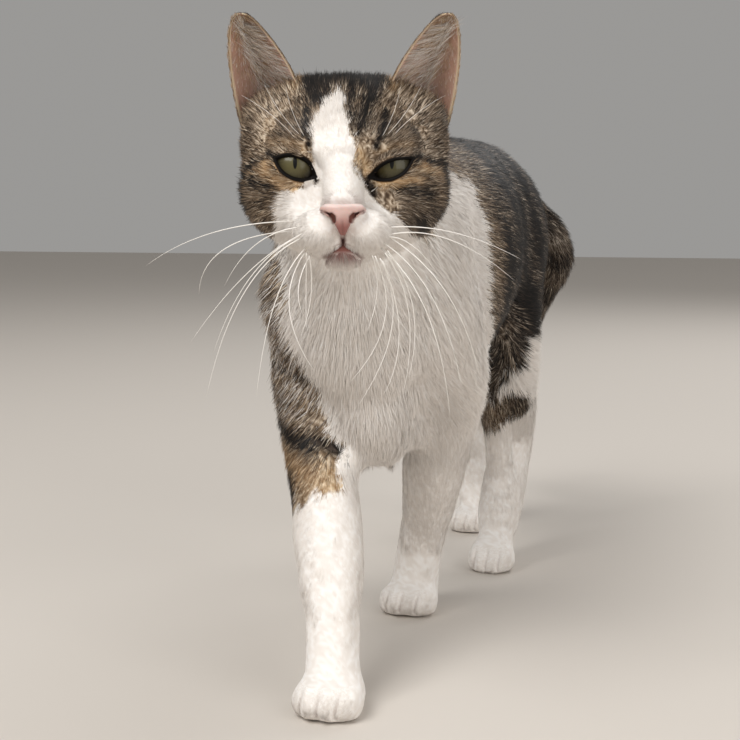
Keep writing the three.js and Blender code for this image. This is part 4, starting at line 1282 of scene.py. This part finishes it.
# %% Regions
(MUZZLE, CROWN, BREAST, TRUNK_LEFT, TRUNK_RIGHT, FORELEG_LEFT, FORELEG_RIGHT,
 HINDLEG_LEFT, HINDLEG_RIGHT, TAIL, BROW) = range(11)


def region(p):
    """A number for each region of the skin."""
    x, y, z = p.T
    q = to_head(p)
    is_head = (q[:, 1] < 50) & (q[:, 2] > -44)
    number = np.where(x > 0, TRUNK_LEFT, TRUNK_RIGHT)
    number = np.where((y < -135) & (z < 235), BREAST, number)
    leg_left = np.where(z > 105, x > -2, y > -140)
    number = np.where((z < 132) & (y < -20), np.where(leg_left, FORELEG_LEFT, FORELEG_RIGHT), number)
    number = np.where((z < 150) & (y > -20), np.where(x > 0, HINDLEG_LEFT, HINDLEG_RIGHT), number)
    number = np.where(tail_share(p) > 0.5, TAIL, number)
    front = np.where(q[:, 2] < -2, MUZZLE, BROW)
    return np.where(is_head, np.where(q[:, 1] > 20, CROWN, front), number)


PIECES = [  # in the regions' order: name, tufts per mm2, slot, unwrap axis
    ("coat_muzzle_and_cheeks", 7.2, "white_coat", (0, 1, 0)), ("coat_crown", 4.2, "tabby_coat", (0, 0, 1)),
    ("coat_breast", 3.4, "white_coat", (0, 0, 1)), ("coat_trunk_left", 1.25, "tabby_coat", (0, 1, 0)),
    ("coat_trunk_right", 1.25, "tabby_coat", (0, 1, 0)), ("coat_foreleg_left", 2.2, "white_coat", (0, 0, 1)),
    ("coat_foreleg_right", 2.6, "white_coat", (0, 0, 1)), ("coat_hindleg_left", 1.8, "white_coat", (0, 0, 1)),
    ("coat_hindleg_right", 1.7, "white_coat", (0, 0, 1)), ("coat_tail", 1.9, "tabby_coat", (0, 0.6, -0.8)),
    ("coat_brow", 7.8, "tabby_coat", (0, 1, 0))]


def bare_here(p):
    """Where no hair grows: the lids' rims and what lies behind them, the nose and the lips."""
    q = to_head(p)
    lid = (lid_gap(q) < 0.4) & (q[:, 1] < 16)
    mouth = to_mouth(q, MOUTH[:3])
    return on_nose(q) | lid | ((mouth < 0.5) & (q[:, 1] < -5) & (np.abs(q[:, 0]) < 10))


def before_ears(q):
    """Where the hair stands up: in front of the ears' roots, and a little on the crown."""
    ax, y, z = np.abs(q[:, 0]), q[:, 1], q[:, 2]
    roots = 0.4 * smoothstep(43, 49, z + 0.67 * ax) * smoothstep(13, 19, ax) * smoothstep(16, 27, z)
    crown = 0.5 * smoothstep(28, 33, z) * smoothstep(24, 15, ax)
    return np.maximum(roots, crown) * smoothstep(48, 36, y)


# %% Plant the coat
regions = region(skin_middles)
for number, (name, density, slot, axis) in enumerate(PIECES):
    own = np.flatnonzero(regions == number)
    roots, normals, ways = scattered(own, density, lambda p: ~bare_here(p) & (p[:, 2] > 1.2))
    depth = depth_at(roots)
    length = 2.6 + 2.1 * depth
    width = np.clip(0.22 + 0.06 * depth, 0.26, 0.5)
    lift = np.arcsin(np.clip(depth / length, 0, 0.9)) * 0.6 + 0.03
    lift = lift * (1 - 0.4 * smoothstep(-120, -150, roots[:, 1]) * (rng.random(len(roots)) > 0.05))
    standing = before_ears(to_head(roots))
    lift, length = lift + 0.45 * standing, length * (1 + 0.45 * standing)
    tips = to_head(roots + ways * (0.95 * length)[:, None])
    length = np.where((lid_gap(tips) < 0.3) & (tips[:, 1] < 14), 1.6, length)
    blades(name, roots, normals, ways, length, width, lift, round_axis(axis, roots.mean(0)))
    print(name, len(roots), "tufts,", 3 * len(roots), "triangles")

# %% [markdown]
# ## Fur on the ears
# Outside, an ear carries short close fur, running up to the tip. Inside, it is nearly
# bare, with long pale hairs that cross from the inner edge, and a fine light fringe along the rim.

# %% Ear fur
EAR_FUR = {  # tufts, layer of the sheet, lowest and highest t
    "back": (7500, 1.0, -0.22, 0.94), "inside": (2400, 0.0, -0.2, 0.96), "rim": (2400, 0.5, -0.2, 0.98),
    "long": (900, 0.0, -0.2, 0.86), "root": (1500, 0.0, -0.24, 0.06)}
EAR_LOOK = {  # length, width, lift, marks (white, dark, warm, pale)
    "back": (3.6, 0.40, 0.22, (0, 0.35, 0.1, 0.2)), "inside": (3.6, 0.24, 0.26, (0.3, 0, 0.6, 1.0)),
    "rim": (2.6, 0.26, 0.3, (0.35, 0, 0.9, 1.0)), "long": (12.5, 0.2, 0.34, (0.6, 0, 0.5, 1.0)),
    "root": (10.0, 0.28, 0.5, (0.2, 0.05, 0.3, 1.0))}


def ear_tufts(side):
    """Roots, normals and ways of each kind of fur on one ear, with its places across the ear."""
    sets = []
    for kind, (count, outside, low, high) in EAR_FUR.items():
        t = low + (high - low) * rng.random(count) ** 0.85
        v = rng.uniform(-0.98, 0.98, count)
        if kind == "rim":
            v = rng.choice([-1.0, 1.0], count, p=[0.6, 0.4])
        if kind == "long":
            v = -0.98 + 1.3 * rng.random(count) ** 1.5
        layer = np.full(count, outside)
        root = ear_points(t, v, layer)
        way = unit(ear_points(np.minimum(t + 0.02, 0.998), v, layer) - root)
        beside = unit(ear_points(t, np.clip(v + 0.03, -1, 1), layer)
                      - ear_points(t, np.clip(v - 0.03, -1, 1), layer))
        out = ear_frame(t, v)[1]
        normal = out if kind == "back" else -out
        if kind == "rim":
            way = unit(way + 0.75 * beside * v[:, None])
        if kind == "root":
            way = unit(way + 0.4 * rng.normal(0, 1, (count, 1)) * beside)
        if kind == "long":
            way = unit(1.1 * way + 0.9 * beside * (1 - 0.5 * (v + 1))[:, None])
        sets.append((from_head(root * [side, 1, 1]), normal * [side, 1, 1] @ HEAD.T,
                     way * [side, 1, 1] @ HEAD.T, v))
    return [np.concatenate(parts) for parts in zip(*sets)]


sizes = [fur_of[0] for fur_of in EAR_FUR.values()]
length, width, lift = (np.repeat([EAR_LOOK[kind][k] for kind in EAR_FUR], sizes) for k in range(3))
for side in (1, -1):
    roots, normals, ways, v = ear_tufts(side)
    marks = np.repeat([EAR_LOOK[kind][3] for kind in EAR_FUR], sizes, axis=0).astype(float)
    marks[:, 1] += 0.7 * smoothstep(-0.62, -0.85, v) * (marks[:, 0] < 0.2)
    name = "ear_fur_" + ("left" if side > 0 else "right")
    blades(name, roots, unit(normals), unit(ways), length, width, lift,
           round_axis((0, 0, 1), roots.mean(0)), np.clip(marks, 0, 1), 0.3)
    print(name, len(roots), "tufts")

# %% [markdown]
# ## Whiskers
# A whisker is a stiff white hair, thickest at its root in the pad, tapering to nothing and sagging in
# one long curve. The stoutest of each pad's four rows are here, with three over each eye, as thin
# tubes. They are a little thicker than in life, so that they show.

# %% Whiskers
# Each whisker's root, bend and tip in the head's frame. The left and the right ones hang differently.
LEFT_WHISKERS = [
    [(19, -20, -26), (47, -7, -28), (77, 12, -39)], [(19, -20, -29), (45, -9, -31), (74, 12, -48)],
    [(18, -20, -30), (28, -17, -33), (39, -7, -44)], [(19, -21, -30), (43, -15, -53), (58, -1, -88)],
    [(15, -23, -34), (35, -20, -62), (45, -12, -107)], [(16, -22, -32), (37, -18, -55), (50, -8, -93)],
    [(17, -24, -37), (27, -24, -61), (25, -26, -93)], [(18, -23, -36), (29, -22, -60), (27, -23, -88)],
    [(13, -25, -38), (17, -29, -64), (3, -30, -89)], [(15, -25, -39), (20, -28, -67), (6, -30, -99)],
    [(16, -24, -40), (23, -26, -69), (17, -28, -94)], [(12, -25, -38), (14, -28, -52), (10, -30, -68)]]
RIGHT_WHISKERS = [
    [(-20, -18, -23), (-55, -9, -28), (-86, 9, -42)], [(-21, -18, -27), (-50, -11, -35), (-62, 2, -54)],
    [(-15, -22, -28), (-40, -15, -45), (-65, -3, -74)], [(-16, -22, -29), (-38, -17, -46), (-55, -6, -78)],
    [(-16, -23, -30), (-41, -18, -53), (-58, -8, -97)], [(-15, -24, -34), (-28, -22, -57), (-36, -20, -96)],
    [(-14, -25, -37), (-15, -26, -50), (-15, -28, -68)], [(-13, -25, -36), (-18, -26, -50), (-16, -28, -62)],
    [(-15, -24, -35), (-22, -25, -58), (-12, -30, -84)], [(-13, -25, -38), (-13, -27, -54), (-17, -28, -70)],
    [(-18, -21, -26), (-36, -18, -33), (-50, -8, -50)]]
BROW_WHISKERS = [
    [(18, 2, 13), (26, -7, 22), (33, -4, 34)], [(21, 2, 13), (31, -6, 22), (43, 0, 30)],
    [(16, 2, 12), (21, -7, 22), (24, -6, 33)]]
WHISKER_SIDES, WHISKER_STEPS, WHISKER_RADIUS = 5, 22, 0.25
BROW_WHISKER_SHARE = 0.28  # of that radius


def whisker(root, bend, tip, radius):
    """A thin tapering tube through three places, started inside the skin."""
    root, bend, tip = (np.array(spot, float) for spot in (root, bend, tip))
    t = np.linspace(0, 1, WHISKER_STEPS)[:, None]
    knee = 2 * bend - 0.5 * (root + tip)
    centres = (1 - t) ** 2 * root + 2 * t * (1 - t) * knee + t ** 2 * tip
    along = unit(np.gradient(centres, axis=0))
    first = unit(np.cross(along, [0.1, 1, 0.1]))
    second = np.cross(along, first)
    turn = np.linspace(0, 2 * math.pi, WHISKER_SIDES, endpoint=False)[None, :, None]
    ring = first[:, None] * np.cos(turn) + second[:, None] * np.sin(turn)
    thick = radius * (1 - t) ** 0.7 + 0.03
    return (centres[:, None] + ring * thick[:, None]).reshape(-1, 3)


def whisker_faces():
    n = np.arange(WHISKER_SIDES)
    rings = np.arange(WHISKER_STEPS - 1)[:, None] * WHISKER_SIDES
    a, b = rings + n, rings + (n + 1) % WHISKER_SIDES
    return np.stack([a, b, b + WHISKER_SIDES, a + WHISKER_SIDES], axis=-1).reshape(-1, 4)


def skin_at(x, z):
    """How far back the head's skin lies, seen from in front."""
    y = np.linspace(-46, 20, 400)
    q = np.stack([np.full(400, x), y, np.full(400, z)], axis=-1)
    return y[np.argmax(head_field(q) < 0)]


for side, name, own in ((1, "whiskers_left", LEFT_WHISKERS), (-1, "whiskers_right", RIGHT_WHISKERS)):
    hairs = []
    for spots in own + [[(x * side, y, z) for x, y, z in row] for row in BROW_WHISKERS]:
        brow = spots[0][2] > 0
        x, _, z = spots[0]
        root = (x, skin_at(x, z) + 1.0, z)
        hairs.append(whisker(root, spots[1], spots[2], WHISKER_RADIUS * (BROW_WHISKER_SHARE if brow else 1)))
    points = from_head(np.concatenate(hairs))
    each = WHISKER_SIDES * WHISKER_STEPS
    quads = np.concatenate([whisker_faces() + k * each for k in range(len(hairs))])
    made = mesh_object(name, points, quads)
    outward(made, close=WHISKER_SIDES)
    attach(made, "root")
    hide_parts(*[f"whisker_{name.split('_')[1]}_{k}" for k in range(1, 6)])
    print(made.name, len(hairs), "hairs")

# %% [markdown]
# ## Finishes of the bare parts
# The eye is wet and smooth, the nose damp and finely pebbled, an ear thin and faintly pink, and a
# whisker is smooth horn.

# %% Eye
# A wet ball: the iris is dull and fibrous, and the clear coat over it gives one sharp highlight.
PUPIL_WIDE, PUPIL_TALL = 0.105, 0.33  # shares of the iris

eye_finish, tree = finish("eye_olive_iris_under_wet_cornea")
ix, iz, shaded = (node(tree, "Attribute", attribute_name=name, out="Fac")
                  for name in ("iris_x", "iris_z", "shaded"))
out = node(tree, "VectorMath", node(tree, "CombineXYZ", X=ix, Z=iz), operation="LENGTH")
angle = node(tree, "Math", ix, iz, operation="ARCTAN2")
spokes = node(tree, "CombineXYZ", X=node(tree, "Math", angle, 12.0, operation="MULTIPLY"),
              Y=node(tree, "Math", out, 2.0, operation="MULTIPLY"))
fibres = node(tree, "TexNoise", Vector=spokes, Scale=1.0, Detail=3.0, out="Fac")
fibres = node(tree, "Math", fibres, 0.5, operation="SUBTRACT")
fibres = node(tree, "Math", fibres, 0.28, operation="MULTIPLY")
at = node(tree, "Math", out, fibres, operation="ADD")
iris = node(tree, "ValToRGB", at, stops=(
    (0.0, "#5c5739"), (0.4, "#544e31"), (0.66, "#423c23"), (0.82, "#231e0e"), (0.93, "#0c0906")))
slit = node(tree, "CombineXYZ", X=node(tree, "Math", ix, PUPIL_WIDE, operation="DIVIDE"),
            Z=node(tree, "Math", iz, PUPIL_TALL, operation="DIVIDE"))
slit = node(tree, "VectorMath", slit, operation="LENGTH")
pupil = node(tree, "ValToRGB", slit, stops=((0.0, "#ffffff"), (0.86, "#ffffff"), (1.0, "#000000")))
# Painted shade of the brow darkens the left iris.
iris = node(tree, "Mix", shaded, iris, linear("#14110a"), data_type="RGBA")
iris = node(tree, "Mix", pupil, iris, linear("#050403"), data_type="RGBA")
surface(tree, Base_Color=iris, Roughness=0.32, Specular_IOR_Level=0.2, Coat_Weight=0.5,
        Coat_Roughness=0.04, Coat_IOR=1.38)
for eye in eyes.values():
    eye.data.materials.append(eye_finish)
print("eye finish with", len(tree.nodes), "nodes")

# %% Nose
# Damp leather: a fine pebble breaks up its sheen. Down in the nostrils a darker colour is painted shade.
PEBBLE_MM, PATCH_MM = 0.45, 6

q = to_head(points_of(nose))
# Painted shade down in the nostril openings.
sunk = smoothstep(-34, -30, q[:, 1] - 0.5 * (np.abs(q[:, 0]) - 4))
paint(nose.data, "deep", smoothstep(0.35, -0.3, nostril(np.abs(q[:, 0]), q[:, 2])) * sunk)
paint(nose.data, "low", smoothstep(-20, -27, q[:, 2]))
paint(nose.data, "brim", 0.65 * smoothstep(-18.8, -17.2, q[:, 2]))
nose_finish, tree = finish("nose_leather_damp_pebbled")
place = node(tree, "TexCoord", out="Object")
pebbles = node(tree, "TexVoronoi", Vector=place, Scale=1 / (PEBBLE_MM * MM), out="Distance")
patchy = node(tree, "TexNoise", Vector=place, Scale=1 / (PATCH_MM * MM), Detail=2.0, out="Fac")
colour = node(tree, "ValToRGB", patchy, stops=((0.3, "#c2a097"), (0.7, "#d2b4ad")))
for name, over in (("low", "#935e57"), ("brim", "#f0e2dc"), ("deep", "#4a211c")):
    share_of = node(tree, "Attribute", attribute_name=name, out="Fac")
    colour = node(tree, "Mix", share_of, colour, linear(over), data_type="RGBA")
relief = node(tree, "Bump", Height=pebbles, Distance=0.12 * MM, Strength=0.5)
surface(tree, Base_Color=colour, Roughness=0.42, Normal=relief, Subsurface_Weight=0.15,
        Subsurface_Scale=1.5 * MM)
nose.data.materials.append(nose_finish)
print("nose finish with", len(tree.nodes), "nodes")

# %% Ears and whiskers
# An ear is thin skin that light passes a little way into. A whisker is smooth horn.
for ear in ears.values():
    v = np.tile(np.linspace(-1, 1, EAR_COLUMNS), 2 * EAR_ROWS)
    paint(ear.data, "outside", np.repeat([0.0, 1.0], len(ear.data.vertices) // 2))
    paint(ear.data, "height", np.clip((to_head(points_of(ear))[:, 2] - 20) / 46, 0, 1))
    paint(ear.data, "edge", smoothstep(0.965, 1.0, np.abs(v)))
    paint(ear.data, "outer", smoothstep(0.1, 0.85, v))
ear_finish, tree = finish("ear_thin_skin_pink_inside")
height, outer, outside, edge = (node(tree, "Attribute", attribute_name=name, out="Fac")
                                for name in ("height", "outer", "outside", "edge"))
outer = node(tree, "Math", outer, 0.75, operation="MULTIPLY")
colour = node(tree, "ValToRGB", height, stops=(
    (0.0, "#b59489"), (0.35, "#dcbcb0"), (0.8, "#cbab9b"), (1.0, "#9b7d6a")))
for share_of, over in ((outer, "#a57c68"), (outside, "#54463a"), (edge, "#c9b597")):
    colour = node(tree, "Mix", share_of, colour, linear(over), data_type="RGBA")
surface(tree, Base_Color=colour, Roughness=0.65, Subsurface_Weight=0.1, Subsurface_Scale=1 * MM)
for ear in ears.values():
    ear.data.materials.append(ear_finish)

whisker_finish, tree = finish("whisker_white_horn")
surface(tree, Base_Color=linear("#f6f2ec"), Roughness=0.35)
for side in ("left", "right"):
    bpy.data.objects["whiskers_" + side].data.materials.append(whisker_finish)
print("finishes", len(bpy.data.materials))

# %% [markdown]
# ## Camera, light and floor
# The camera is low, level with the cat's muzzle, and a little to its left, with a moderately long
# lens. A large key lamp, a weaker one beside it and one behind give the even light of an open shade.

# %% Camera
CAMERA_AT = np.array([203.3, -815.2, 224.5])
CAMERA_TURN, CAMERA_DOWN = math.radians(17.35), math.radians(6.5)
SENSOR_MM, LENS_MM = 36, 68.10811

view = bpy.data.cameras.new("camera")
view.sensor_width = SENSOR_MM
view.lens = LENS_MM
view.clip_start = 0.01
camera = bpy.data.objects.new("camera", view)
camera.location = CAMERA_AT * MM
camera.rotation_euler = (math.pi / 2 - CAMERA_DOWN, 0, CAMERA_TURN)
bpy.context.scene.collection.objects.link(camera)
bpy.context.scene.camera = camera

# %% Floor and studio light
bpy.ops.object.select_all(action="DESELECT")
bpy.ops.mesh.primitive_plane_add(size=12, location=(0, 0, 0))
floor = bpy.context.object
floor.name = "floor"
floor.data.materials.append(floor_finish)


def lamp(name, at, aim, size, watts, colour="#ffffff"):
    """A square lamp, turned to face a place."""
    light = bpy.data.lights.new(name, "AREA")
    light.size = size
    light.energy = watts
    light.color = linear(colour)[:3]
    made = bpy.data.objects.new(name, light)
    made.location = at
    made.rotation_euler = (Vector(aim) - Vector(at)).to_track_quat("-Z", "Y").to_euler()
    bpy.context.scene.collection.objects.link(made)


bpy.context.scene.view_settings.view_transform = "Standard"  # so the hex colours come out as written
lamp("key", (-0.6, -1.6, 2.0), (0, -0.1, 0.15), 1.4, 47, "#fffefc")
lamp("fill", (1.7, -1.2, 0.9), (0, 0, 0.15), 1.6, 17, "#fcfaf7")
lamp("back", (0.6, 1.7, 1.6), (0, 0.1, 0.2), 1.2, 16)
world = bpy.data.worlds.new("studio")
world.use_nodes = True
world.node_tree.nodes["Background"].inputs["Color"].default_value = linear("#e8e6e3")
world.node_tree.nodes["Background"].inputs["Strength"].default_value = 0.4
bpy.context.scene.world = world
